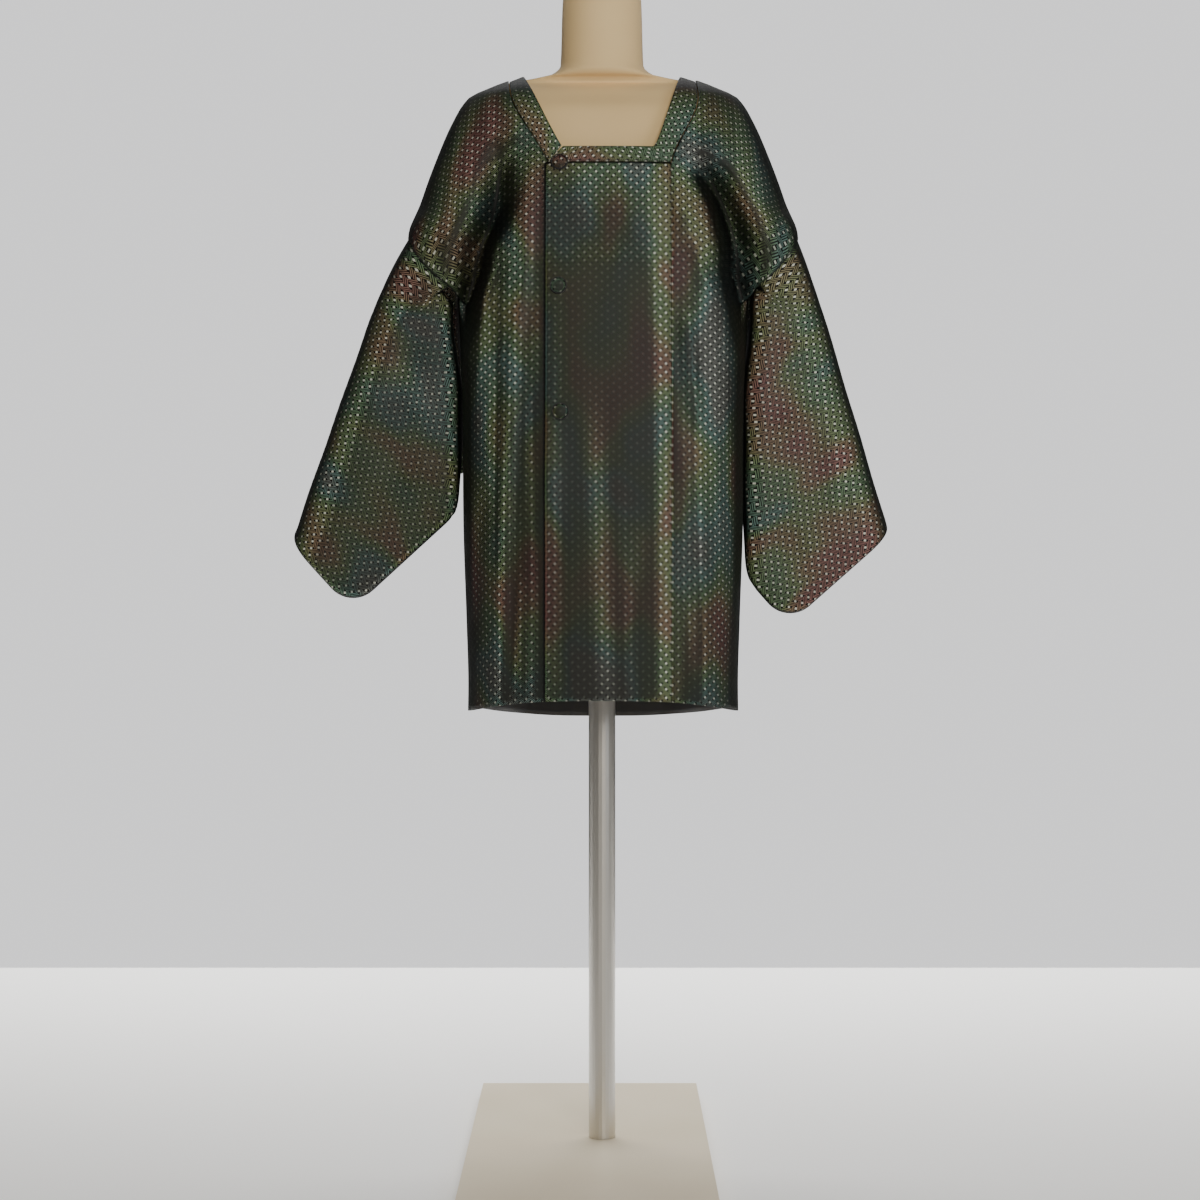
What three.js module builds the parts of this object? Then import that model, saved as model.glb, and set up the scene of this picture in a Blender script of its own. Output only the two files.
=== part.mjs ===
// A michiyuki coat worn by a limbless dress form.
// Millimetres, +Z up, the coat's front faces -Y, the wearer's left is +X.
// The origin is where the pole's axis meets the base board's underside.
import * as THREE from 'three';

// ---------------------------------------------------------------- sizes
const wall = 2.0;                  // cloth and lining together
const seamGap = 0.3;               // clearance between sewn pieces
const bandGap = 0.9;               // the neck band bends away from its seam
const lapStep = wall + 0.6;        // how far the lower front lies behind the overlap

const hem = { side: 531, frontRise: 16, backDrop: 15, fadeTop: 700 };
const overlapEdge = -65.5;         // free edge of the upper front panel
const overlapSeam = 80;            // its seam with the left body
const underEdge = 74;              // free edge of the lower front panel
const underSeam = -58;             // its seam with the right body
const panelTop = 1169;             // where the front panels meet the neck band

const neck = {
  seamTop: 1284,                   // neck seam on the shoulder ridge
  seamHalf: 112,                   // half width of the neck seam on the ridge
  backDepth: 49,                   // how far the neck seam drops behind
  bandWidth: 19,
  cornerInner: { left: [61, 1188.5], right: [46, 1188.5] },
  cornerOuter: { left: [81.5, 1169.5], right: [63, 1169.5] },
};

// Rings of the body, one row a height. halfWidth is the outline seen from the
// front, front and back are the depths, side is where the outline lies in Y,
// square is the exponent of the rounded outline seen from above.
const bodyRows = [
  { height: 500, halfWidth: 162, front: 141, back: 140, side: 0, square: 3.0 },
  { height: 562, halfWidth: 161, front: 141, back: 137, side: 0, square: 3.0 },
  { height: 635, halfWidth: 163, front: 140, back: 134, side: 0, square: 3.0 },
  { height: 760, halfWidth: 167, front: 138, back: 130, side: 0, square: 3.0 },
  { height: 885, halfWidth: 168, front: 134, back: 126, side: 0, square: 2.9 },
  { height: 1000, halfWidth: 173, front: 126.8, back: 122, side: 0, square: 2.8 },
  { height: 1036, halfWidth: 175, front: 123.6, back: 120, side: 0, square: 2.8 },
  { height: 1048, halfWidth: 177, front: 122.3, back: 120, side: 0, square: 2.8 },
  { height: 1061, halfWidth: 207, front: 120.6, back: 119, side: 1, square: 2.7 },
  { height: 1076, halfWidth: 233, front: 118.6, back: 118, side: 2, square: 2.6 },
  { height: 1106, halfWidth: 227, front: 114.2, back: 116, side: 2, square: 2.6 },
  { height: 1141, halfWidth: 217, front: 108, back: 113, side: 3, square: 2.6 },
  { height: 1201, halfWidth: 195, front: 91, back: 102, side: 4, square: 2.6 },
  { height: 1231, halfWidth: 182, front: 79, back: 92, side: 5, square: 2.6 },
  { height: 1262, halfWidth: 163, front: 58, back: 73, side: 5, square: 2.5 },
  { height: 1273, halfWidth: 142, front: 45, back: 58, side: 5, square: 2.4 },
  { height: 1284, halfWidth: 117, front: 26, back: 36, side: 5, square: 2.3 },
  { height: 1292, halfWidth: 92, front: 8, back: 14, side: 5, square: 2.2 },
];

// Front edge of each body half above the panels: the seam with the neck band.
const neckSeamRows = {
  left: [
    { height: 1169, edge: 80 },
    { height: 1181, edge: 84 },
    { height: 1258, edge: 114 },
    { height: 1284, edge: 112 },
  ],
  right: [
    { height: 1169, edge: 62 },
    { height: 1181, edge: 68 },
    { height: 1258, edge: 108 },
    { height: 1284, edge: 112 },
  ],
};

// The hollow between the chest and the hanging shoulder cloth, on each side.
// flap widens the front of the ring where that cloth ends in a soft tongue.
const armHollowRows = {
  left: [
    { height: 950, at: 168, depth: 0, backDepth: 0, flap: 0 },
    { height: 985, at: 167, depth: 20, backDepth: 4, flap: 0 },
    { height: 1022, at: 165, depth: 44, backDepth: 10, flap: 2 },
    { height: 1048, at: 161, depth: 60, backDepth: 18, flap: 15 },
    { height: 1087, at: 154, depth: 62, backDepth: 26, flap: 7 },
    { height: 1124, at: 143, depth: 52, backDepth: 26, flap: 0 },
    { height: 1155, at: 128, depth: 38, backDepth: 20, flap: 0 },
    { height: 1172, at: 122, depth: 12, backDepth: 14, flap: 0 },
    { height: 1190, at: 120, depth: 0, backDepth: 8, flap: 0 },
    { height: 1225, at: 120, depth: 0, backDepth: 0, flap: 0 },
  ],
  right: [
    { height: 950, at: 168, depth: 0, backDepth: 0, flap: 0 },
    { height: 985, at: 165, depth: 20, backDepth: 4, flap: 0 },
    { height: 1022, at: 160, depth: 46, backDepth: 10, flap: 2 },
    { height: 1054, at: 149, depth: 60, backDepth: 20, flap: 15 },
    { height: 1083, at: 138, depth: 60, backDepth: 26, flap: 8 },
    { height: 1124, at: 125, depth: 44, backDepth: 26, flap: 0 },
    { height: 1161, at: 119, depth: 32, backDepth: 18, flap: 0 },
    { height: 1185, at: 116, depth: 12, backDepth: 10, flap: 0 },
    { height: 1210, at: 114, depth: 0, backDepth: 4, flap: 0 },
    { height: 1225, at: 114, depth: 0, backDepth: 0, flap: 0 },
  ],
};
const armHollowWidth = { front: 18, back: 24 };
const backHollowShift = 14;        // behind, the hollow lies further out
const flapAngle = 27;              // seen from above, and its spread to each side
const flapSpread = 13;
const tongueDrop = 20;             // how far the tongue hangs below the armhole

// Long folds between two ends. rise is outwards, negative is a trough.
const foldRows = [
  { face: 'front', side: 'right', topX: 72, topZ: 1165, lowX: 104, lowZ: 930, rise: 5, width: 9 },
  { face: 'front', side: 'right', topX: 104, topZ: 960, lowX: 121, lowZ: 480, rise: 5, width: 10 },
  { face: 'front', side: 'right', topX: 100, topZ: 1160, lowX: 122, lowZ: 1000, rise: -5, width: 9 },
  { face: 'front', side: 'right', topX: 120, topZ: 1090, lowX: 144, lowZ: 990, rise: 4, width: 9 },
  { face: 'front', side: 'right', topX: 136, topZ: 800, lowX: 150, lowZ: 590, rise: -4, width: 9 },
  { face: 'front', side: 'left', topX: 80, topZ: 1140, lowX: 80, lowZ: 480, rise: -3, width: 14 },
  { face: 'front', side: 'left', topX: 96, topZ: 1000, lowX: 110, lowZ: 850, rise: 5, width: 9 },
  { face: 'front', side: 'left', topX: 105, topZ: 880, lowX: 120, lowZ: 480, rise: 5, width: 11 },
  { face: 'front', side: 'left', topX: 88, topZ: 1130, lowX: 126, lowZ: 1010, rise: 5, width: 9 },
  { face: 'front', side: 'left', topX: 138, topZ: 1010, lowX: 112, lowZ: 900, rise: -4, width: 8 },
  { face: 'front', side: 'left', topX: 78, topZ: 1182, lowX: 142, lowZ: 1180, rise: 4, width: 10 },
  { face: 'back', side: 'right', topX: 70, topZ: 1090, lowX: 96, lowZ: 480, rise: 6, width: 20 },
  { face: 'back', side: 'right', topX: 118, topZ: 1040, lowX: 134, lowZ: 480, rise: -6, width: 16 },
  { face: 'back', side: 'left', topX: 62, topZ: 1060, lowX: 88, lowZ: 480, rise: 6, width: 20 },
  { face: 'back', side: 'left', topX: 114, topZ: 1060, lowX: 130, lowZ: 480, rise: -6, width: 16 },
];
// The middle of each front stays flat up to here and has its full folds further out.
const flatFront = { left: [38, 62], right: [74, 88] };

// Heights of the rows of the body grid; the armhole is cut between two of them.
const bodyHeights = [
  531, 600, 670, 745, 820, 895, 955, 1000, 1024, 1037, 1048,
  1061, 1076, 1106, 1138, 1171, 1205, 1235, 1242, 1251, 1262, 1273, 1284,
];
const armhole = {
  lowRow: bodyHeights.indexOf(1048),
  topRow: bodyHeights.indexOf(1076),
  frontAngle: 25,                  // where its edges lie, seen from above
  backAngle: 40,
  lift: 18,                        // the edge rises towards the outline
};
const columns = { front: 14, frontArm: 4, backArm: 5, back: 9 };

// Sleeves: two layers of cloth that hang as one bag, folded round a slanting crease.
const sleeve = {
  width: 330,                      // shoulder seam to cuff
  drop: 490,                       // top fold to bottom fold
  cuffOpening: 240,
  cornerRadius: 34,
  halfGap: 7,                      // half the space between the two layers
  edgeRound: 22,                   // how soon the layers close at a fold
  frontY: -34,                     // plane of the flat front part
  creaseRadius: 38,
  backCurl: { turn: 70, length: 110, gather: 0.6 },
  bodySideX: { low: 177.5, high: 186 },    // where the inner part turns back along the body
  bodySideRadius: 12,
  bodySideRise: [900, 1000],       // heights between which it moves from low to high
  joinLength: 95,                  // cloth that eases from the armhole into the bag
};
// seamStep is how far a sleeve's seam edge lies outside the armhole's.
const sleeveSides = {
  left: {
    corner: [220, 633], weftAngle: 48.5, creaseTop: [232, 1093], creaseLow: [336, 743],
    seamEnd: 235, seamCrest: 180, seamStep: wall + 2.5,
  },
  right: {
    corner: [297, 651], weftAngle: 42.5, creaseTop: [234, 1103], creaseLow: [361, 741],
    seamEnd: 268, seamCrest: 215, seamStep: wall + 1.5,
  },
};
const sleeveRows = 20;
const sleeveColumns = 20;          // on each layer

const button = { radius: 9.2, height: 4.6, rim: 1.2 };
const buttonRows = [
  { name: 'button_top', x: -49, z: 1168 },
  { name: 'button_middle', x: -50, z: 1022 },
  { name: 'button_bottom', x: -47.5, z: 877 },
];

const form = {
  neckRadius: 47,
  neckBase: 1303,
  neckTop: 1392,
  shoulderDrop: 1.2,               // these two leave 0.3 mm under the sloping cloth
  shoulderInset: 3.0,
  poleRadius: 16,
  boardWidth: 284,
  boardDepth: 600,
  boardThick: 18,
  boardShift: -16,                 // the pole doesn't stand in the board's middle
};
const formRows = [
  { height: 600, halfWidth: 122, front: 84, back: 92, square: 2.2 },
  { height: 690, halfWidth: 134, front: 96, back: 104, square: 2.2 },
  { height: 820, halfWidth: 124, front: 94, back: 98, square: 2.2 },
  { height: 940, halfWidth: 126, front: 96, back: 98, square: 2.3 },
  { height: 1060, halfWidth: 127, front: 92, back: 98, square: 2.3 },
  { height: 1150, halfWidth: 129, front: 80, back: 94, square: 2.3 },
  { height: 1210, halfWidth: 142, front: 68, back: 82, square: 2.4 },
  { height: 1240, halfWidth: 152, front: 58, back: 70, square: 2.4 },
];

// ---------------------------------------------------------------- materials
const cloth = new THREE.MeshStandardMaterial({ color: 0x3b3a33, roughness: 0.55, metalness: 0 });
const bandCloth = new THREE.MeshStandardMaterial({ color: 0x34332d, roughness: 0.55, metalness: 0 });
const buttonCloth = new THREE.MeshStandardMaterial({ color: 0x2c2b26, roughness: 0.5, metalness: 0 });
const formCloth = new THREE.MeshStandardMaterial({ color: 0xdcbf8c, roughness: 0.85, metalness: 0 });
const boardWood = new THREE.MeshStandardMaterial({ color: 0xd9c7a6, roughness: 0.6, metalness: 0 });
const poleMetal = new THREE.MeshStandardMaterial({ color: 0xb9b4aa, roughness: 0.35, metalness: 0.9 });

// ---------------------------------------------------------------- small maths
const radians = (degrees) => degrees * Math.PI / 180;
const mix = (a, b, t) => a + (b - a) * t;
const clamp01 = (t) => Math.min(1, Math.max(0, t));
const smooth = (low, high, value) => {
  const t = clamp01((value - low) / (high - low));
  return t * t * (3 - 2 * t);
};

// Reads one column of a table at a height, along a smooth curve through its rows.
function readTable(rows, column, height) {
  if (height <= rows[0].height) return rows[0][column];
  const last = rows.length - 1;
  if (height >= rows[last].height) return rows[last][column];
  let k = 0;
  while (rows[k + 1].height < height) k += 1;
  const slope = (a, b) => (rows[b][column] - rows[a][column]) / (rows[b].height - rows[a].height);
  const span = rows[k + 1].height - rows[k].height;
  const middle = slope(k, k + 1);
  const ease = (other) => (other * middle <= 0 ? 0 : 2 * other * middle / (other + middle));
  const startSlope = k > 0 ? ease(slope(k - 1, k)) : middle;
  const endSlope = k + 1 < last ? ease(slope(k + 1, k + 2)) : middle;
  const t = (height - rows[k].height) / span;
  const start = rows[k][column];
  const end = rows[k + 1][column];
  return (2 * t ** 3 - 3 * t ** 2 + 1) * start + (t ** 3 - 2 * t ** 2 + t) * span * startSlope
    + (3 * t ** 2 - 2 * t ** 3) * end + (t ** 3 - t ** 2) * span * endSlope;
}

// ---------------------------------------------------------------- body surface
function ringAt(height, inset) {
  return {
    halfWidth: readTable(bodyRows, 'halfWidth', height) - inset,
    front: readTable(bodyRows, 'front', height) - inset,
    back: readTable(bodyRows, 'back', height) - inset,
    side: readTable(bodyRows, 'side', height),
    square: readTable(bodyRows, 'square', height),
  };
}

// Depth that folds and the arm hollow add at a place on the front or back, outwards.
function relief(face, side, x, height) {
  let rise = 0;
  for (const fold of foldRows) {
    if (fold.face !== face || fold.side !== side) continue;
    const run = [fold.lowX - fold.topX, fold.lowZ - fold.topZ];
    const from = [x - fold.topX, height - fold.topZ];
    const length = Math.hypot(...run);
    const along = (from[0] * run[0] + from[1] * run[1]) / length ** 2;
    if (along < 0 || along > 1) continue;
    const away = (from[0] * run[1] - from[1] * run[0]) / length;
    const strength = smooth(0, 0.2, along) * (fold.lowZ < hem.side ? 1 : smooth(1, 0.8, along));
    rise += fold.rise * strength * Math.exp(-((away / fold.width) ** 2));
  }
  if (face === 'front') rise *= smooth(...flatFront[side], x);
  const rows = armHollowRows[side];
  const depth = readTable(rows, face === 'front' ? 'depth' : 'backDepth', height);
  const at = readTable(rows, 'at', height) + (face === 'front' ? 0 : backHollowShift);
  return rise - depth * Math.exp(-(((x - at) / armHollowWidth[face]) ** 2));
}

// A point of a body ring. angle is 90 at the centre front, 0 at the outline and
// -90 at the centre back; x and y follow a rounded rectangle of the ring's exponent.
function ringPoint(side, height, angle, inset) {
  const ring = ringAt(height, inset);
  const face = angle >= 0 ? 'front' : 'back';
  const power = 2 / ring.square;
  const turn = radians(Math.abs(angle));
  const flap = face === 'front' ? readTable(armHollowRows[side], 'flap', height) : 0;
  const tongue = face === 'front' ? Math.exp(-(((angle - flapAngle) / flapSpread) ** 2)) : 0;
  const x = ring.halfWidth * Math.cos(turn) ** power + flap * tongue;
  const sine = Math.sin(turn);
  const depth = (face === 'front' ? ring.front : ring.back) * sine ** power;
  const out = depth + relief(face, side, x, height) * Math.min(1, sine * 2.5);
  const y = ring.side + (face === 'front' ? -out : out);
  const low = 1 - smooth(hem.side, hem.fadeTop, height);
  const hemShift = (face === 'front' ? hem.frontRise : -hem.backDrop) * sine * sine * low;
  const lift = armhole.lift * Math.cos(turn) ** 2
    * smooth(1048, 1076, height) * (1 - smooth(1076, 1141, height));
  const drop = tongueDrop * tongue * smooth(1000, 1048, height) * (1 - smooth(1048, 1106, height));
  const mirror = side === 'left' ? 1 : -1;
  return new THREE.Vector3(mirror * x, y, height + hemShift + lift - drop);
}

function angleOfX(x, height, inset) {
  const ring = ringAt(height, inset);
  const share = Math.min(1, Math.abs(x) / ring.halfWidth);
  return Math.acos(share ** (ring.square / 2)) * 180 / Math.PI;
}

// A point of the front at a given x, on the side that x lies on.
function frontPoint(x, height, inset) {
  const side = x >= 0 ? 'left' : 'right';
  const point = ringPoint(side, height, angleOfX(x, height, inset), inset);
  if (Math.abs(x) < 0.01) point.x = 0;
  return point;
}

// ---------------------------------------------------------------- walls of cloth
// A closed wall round a grid of points. Cells that skip names are left open, and
// a round grid closes on itself along its columns.
function clothWall(grid, options = {}) {
  const { thickness = wall, round = false, flip = false, skip = () => false } = options;
  const rows = grid.length;
  const cols = grid[0].length;
  const cellCols = round ? cols : cols - 1;
  const column = (j) => (round ? (j + cols) % cols : Math.min(cols - 1, Math.max(0, j)));
  const rowOf = (i) => Math.min(rows - 1, Math.max(0, i));
  const positions = [];
  for (const sign of [1, -1]) {
    for (let i = 0; i < rows; i += 1) {
      for (let j = 0; j < cols; j += 1) {
        const alongRow = new THREE.Vector3().subVectors(grid[i][column(j + 1)], grid[i][column(j - 1)]);
        const alongColumn = new THREE.Vector3().subVectors(grid[rowOf(i + 1)][j], grid[rowOf(i - 1)][j]);
        const normal = alongRow.cross(alongColumn).normalize().multiplyScalar(flip ? -1 : 1);
        const p = grid[i][j].clone().addScaledVector(normal, sign * thickness / 2);
        positions.push(p.x, p.y, p.z);
      }
    }
  }
  const layer = rows * cols;
  const at = (i, j, inner) => (inner ? layer : 0) + i * cols + column(j);
  const open = (i, j) => i < 0 || i >= rows - 1 || (!round && (j < 0 || j >= cellCols))
    || skip(i, (j + cellCols) % cellCols);
  const faces = [];
  const triangle = (a, b, c) => (flip ? faces.push(a, c, b) : faces.push(a, b, c));
  const quad = (a, b, c, d) => {
    triangle(a, b, c);
    triangle(a, c, d);
  };
  // The diagonal of a cell is the one whose two triangles lie flatter.
  const facing = (a, b, c) => new THREE.Vector3().subVectors(b, a)
    .cross(new THREE.Vector3().subVectors(c, a)).normalize();
  const crossed = (i, j) => {
    const [a, b] = [grid[i][j], grid[i][column(j + 1)]];
    const [c, d] = [grid[i + 1][column(j + 1)], grid[i + 1][j]];
    return facing(a, b, d).dot(facing(b, c, d)) > facing(a, b, c).dot(facing(a, c, d));
  };
  for (let i = 0; i < rows - 1; i += 1) {
    for (let j = 0; j < cellCols; j += 1) {
      if (open(i, j)) continue;
      if (crossed(i, j)) {
        quad(at(i, j + 1), at(i + 1, j + 1), at(i + 1, j), at(i, j));
        quad(at(i, j + 1, 1), at(i, j, 1), at(i + 1, j, 1), at(i + 1, j + 1, 1));
      } else {
        quad(at(i, j), at(i, j + 1), at(i + 1, j + 1), at(i + 1, j));
        quad(at(i, j, 1), at(i + 1, j, 1), at(i + 1, j + 1, 1), at(i, j + 1, 1));
      }
      if (open(i - 1, j)) quad(at(i, j), at(i, j, 1), at(i, j + 1, 1), at(i, j + 1));
      if (open(i + 1, j)) quad(at(i + 1, j), at(i + 1, j + 1), at(i + 1, j + 1, 1), at(i + 1, j, 1));
      if (open(i, j - 1)) quad(at(i, j), at(i + 1, j), at(i + 1, j, 1), at(i, j, 1));
      if (open(i, j + 1)) quad(at(i, j + 1), at(i, j + 1, 1), at(i + 1, j + 1, 1), at(i + 1, j + 1));
    }
  }
  return meshFrom(positions, faces);
}

// A full solid through closed rings, from the lowest to the highest.
function loftSolid(rings) {
  const count = rings[0].length;
  const positions = rings.flat().flatMap((p) => [p.x, p.y, p.z]);
  const faces = [];
  for (let i = 0; i < rings.length - 1; i += 1) {
    for (let j = 0; j < count; j += 1) {
      const a = i * count + j;
      const b = i * count + (j + 1) % count;
      faces.push(a, b, b + count, a, b + count, a + count);
    }
  }
  for (const [ring, upward] of [[0, false], [rings.length - 1, true]]) {
    const centre = positions.length / 3;
    const middle = new THREE.Vector3();
    rings[ring].forEach((p) => middle.addScaledVector(p, 1 / count));
    positions.push(middle.x, middle.y, middle.z);
    for (let j = 0; j < count; j += 1) {
      const a = ring * count + j;
      const b = ring * count + (j + 1) % count;
      if (upward) faces.push(centre, a, b);
      else faces.push(centre, b, a);
    }
  }
  return meshFrom(positions, faces);
}

function meshFrom(positions, faces) {
  const geometry = new THREE.BufferGeometry();
  geometry.setAttribute('position', new THREE.Float32BufferAttribute(positions, 3));
  geometry.setIndex(faces);
  geometry.computeVertexNormals();
  return geometry;
}

// ---------------------------------------------------------------- body halves
const insetOf = (side) => (side === 'left' ? 0 : lapStep);

// Where the neck seam runs on the back: half its width at a height.
function neckSeamX(height) {
  const drop = (neck.seamTop - height) / neck.backDepth;
  return neck.seamHalf * Math.sqrt(Math.max(0, 1 - drop));
}

function bodyAngles(side, height) {
  const inset = insetOf(side);
  const seamX = side === 'left' ? overlapSeam : -underSeam;
  const frontX = height <= panelTop ? seamX : readTable(neckSeamRows[side], 'edge', height);
  const frontStart = angleOfX(frontX + seamGap / 2, height, inset);
  const backX = neckSeamX(height);
  const backEnd = -angleOfX(Math.max(backX, seamGap), height, inset);
  const fan = (from, to, steps) => Array.from({ length: steps }, (_, k) => mix(from, to, k / steps));
  const front = Math.min(armhole.frontAngle, frontStart * 0.55);
  const back = Math.max(-armhole.backAngle, backEnd * 0.55);
  return [
    ...fan(frontStart, front, columns.front),
    ...fan(front, 0, columns.frontArm),
    ...fan(0, back, columns.backArm),
    ...fan(back, backEnd, columns.back),
    backEnd,
  ];
}

function bodyGrid(side) {
  return bodyHeights.map((height) => (
    bodyAngles(side, height).map((angle) => ringPoint(side, height, angle, insetOf(side)))
  ));
}

const armColumns = [columns.front, columns.front + columns.frontArm + columns.backArm];

function bodyHalf(side) {
  const skip = (i, j) => i >= armhole.lowRow && i < armhole.topRow
    && j >= armColumns[0] && j < armColumns[1];
  return clothWall(bodyGrid(side), { skip, flip: side === 'right' });
}

// ---------------------------------------------------------------- front panels
function frontPanel(fromX, toX, inset, steps) {
  const heights = bodyHeights.filter((height) => height < panelTop - 20);
  heights.push(panelTop - seamGap / 2);
  const grid = heights.map((height) => (
    Array.from({ length: steps + 1 }, (_, k) => frontPoint(mix(fromX, toX, k / steps), height, inset))
  ));
  return clothWall(grid);
}

// ---------------------------------------------------------------- neck band
// The band follows the neck seam; each station has a seam point and a free edge point.
function neckBand() {
  const seam = [];
  const free = [];
  const put = (outer, inner) => {
    seam.push(outer);
    free.push(inner);
  };
  const [cornerInLeft, cornerOutLeft] = [neck.cornerInner.left, neck.cornerOuter.left];
  const [cornerInRight, cornerOutRight] = [neck.cornerInner.right, neck.cornerOuter.right];
  const bottomSteps = 6;
  for (let k = 0; k < bottomSteps; k += 1) {
    const t = k / bottomSteps;
    const low = frontPoint(mix(-cornerOutRight[0] + 1, cornerOutLeft[0], t), cornerOutLeft[1], 0);
    const high = frontPoint(mix(-cornerInRight[0] + 1, cornerInLeft[0], t), cornerInLeft[1], 0);
    put(low, high);
  }
  const sideHeights = bodyHeights.filter((height) => height > panelTop);
  const sidePair = (side, height) => {
    const mirror = side === 'left' ? 1 : -1;
    const inset = insetOf(side);
    const t = (height - panelTop) / (neck.seamTop - panelTop);
    const outerX = readTable(neckSeamRows[side], 'edge', height) - bandGap;
    const innerX = mix(neck.cornerInner[side][0], neck.seamHalf - neck.bandWidth, t ** 0.9);
    const innerZ = mix(neck.cornerInner[side][1], neck.seamTop + 5, t);
    return [frontPoint(mirror * outerX, height, inset), frontPoint(mirror * innerX, innerZ, inset)];
  };
  for (const height of sideHeights) put(...sidePair('left', height));
  const backHeights = bodyHeights.filter((height) => height >= neck.seamTop - neck.backDepth);
  const backStations = [
    ...[...backHeights].reverse().map((height) => ['left', height]),
    ...backHeights.slice(1).map((height) => ['right', height]),
  ];
  backStations.forEach(([side, height], k) => {
    const mirror = side === 'left' ? 1 : -1;
    const inset = mix(0, lapStep, smooth(0.2, 0.8, k / (backStations.length - 1)));
    const x = Math.max(0, neckSeamX(height) - bandGap);
    const outer = ringPoint(side, height, -angleOfX(x, height, inset), inset);
    outer.z += bandGap * (1 - x / neck.seamHalf);
    const around = Math.atan2(neck.seamTop - height, x / neck.seamHalf * neck.backDepth);
    const lean = mix(0.86, 0.42, Math.sin(around));
    const inward = neck.bandWidth * lean;
    const inner = outer.clone().add(new THREE.Vector3(
      -mirror * Math.cos(around) * inward,
      -Math.sin(around) * inward,
      neck.bandWidth * Math.sqrt(1 - lean * lean),
    ));
    put(outer, inner);
  });
  for (const height of [...sideHeights].reverse()) put(...sidePair('right', height));
  const across = 2;
  const grid = [];
  for (let k = 0; k <= across; k += 1) {
    grid.push(seam.map((point, j) => point.clone().lerp(free[j], k / across)));
  }
  return clothWall(grid);
}

// ---------------------------------------------------------------- sleeves
// Where a flat distance from the crease ends up when the bag is rolled round it:
// straight in front of the crease, a quarter turn of small radius at it, then a
// wider curl, then straight again. Returns [outward, backward, angle].
function roll(q) {
  const quarter = sleeve.creaseRadius * Math.PI / 2;
  const start = -sleeve.creaseRadius;
  if (q <= start) return [q, 0, 0];
  if (q <= start + quarter) {
    const turn = (q - start) / sleeve.creaseRadius;
    return [start + sleeve.creaseRadius * Math.sin(turn), sleeve.creaseRadius * (1 - Math.cos(turn)), turn];
  }
  const wide = sleeve.backCurl.length / radians(sleeve.backCurl.turn);
  const past = Math.min(q - start - quarter, sleeve.backCurl.length);
  const turn = Math.PI / 2 + past / wide;
  const rest = sleeve.backCurl.gather * Math.max(0, q - start - quarter - sleeve.backCurl.length);
  const outward = wide * (Math.sin(turn) - 1) + rest * Math.cos(turn);
  const backward = sleeve.creaseRadius - wide * Math.cos(turn) + rest * Math.sin(turn);
  return [outward, backward, turn];
}

// The middle surface of the bag. s runs from shoulder seam to cuff, t from the top
// fold to the bottom fold. Flat cloth lies in a plane that faces forward; left of
// the body's side it turns back, right of the crease it rolls back.
function bagMiddle(side, s, t) {
  const sizes = sleeveSides[side];
  const weft = radians(sizes.weftAngle);
  const back = [sleeve.width - s, sleeve.drop - t];
  const x = sizes.corner[0] - back[0] * Math.cos(weft) + back[1] * Math.sin(weft);
  const z = sizes.corner[1] + back[0] * Math.sin(weft) + back[1] * Math.cos(weft);
  const run = [sizes.creaseLow[0] - sizes.creaseTop[0], sizes.creaseLow[1] - sizes.creaseTop[1]];
  const length = Math.hypot(...run);
  const down = [run[0] / length, run[1] / length];
  const out = [-down[1], down[0]];
  const from = [x - sizes.creaseTop[0], z - sizes.creaseTop[1]];
  const q = from[0] * out[0] + from[1] * out[1];
  const [outward, backward] = roll(q);
  const point = new THREE.Vector3(x + (outward - q) * out[0], sleeve.frontY + backward,
    z + (outward - q) * out[1]);
  const sideX = mix(sleeve.bodySideX.low, sleeve.bodySideX.high, smooth(...sleeve.bodySideRise, point.z));
  const inside = sideX + sleeve.bodySideRadius - point.x;
  if (inside > 0) {
    const turn = Math.min(inside / sleeve.bodySideRadius, Math.PI / 2);
    const rest = inside - turn * sleeve.bodySideRadius;
    point.x = sideX + sleeve.bodySideRadius * (1 - Math.sin(turn));
    point.y += sleeve.bodySideRadius * (1 - Math.cos(turn)) + rest;
  }
  return point;
}

// The seam loop round the armhole, as points of the body's edge moved outwards.
function armholeLoop(side) {
  const grid = bodyGrid(side);
  const { lowRow, topRow } = armhole;
  const [frontColumn, backColumn] = armColumns;
  const outer = [];
  const inner = [];
  const edge = (i, j) => {
    const acrossRow = new THREE.Vector3().subVectors(grid[i][j + 1], grid[i][j - 1]);
    const acrossColumn = new THREE.Vector3().subVectors(grid[i + 1][j], grid[i - 1][j]);
    const normal = acrossRow.cross(acrossColumn).normalize().multiplyScalar(side === 'right' ? -1 : 1);
    return grid[i][j].clone().addScaledVector(normal, sleeveSides[side].seamStep);
  };
  for (let i = lowRow; i < topRow; i += 1) outer.push(edge(i, frontColumn));
  for (let j = frontColumn; j <= backColumn; j += 1) outer.push(edge(topRow, j));
  for (let i = topRow; i > lowRow; i -= 1) inner.push(edge(i, backColumn));
  for (let j = backColumn; j > frontColumn; j -= 1) inner.push(edge(lowRow, j));
  const outerCurve = new THREE.CatmullRomCurve3(outer.reverse());
  const lengths = outerCurve.getLengths(outer.length - 1);
  const crestStep = columns.backArm;
  return {
    outer: outerCurve,
    inner: new THREE.CatmullRomCurve3(inner),
    outerCrest: lengths[crestStep] / lengths[lengths.length - 1],
  };
}

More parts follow.
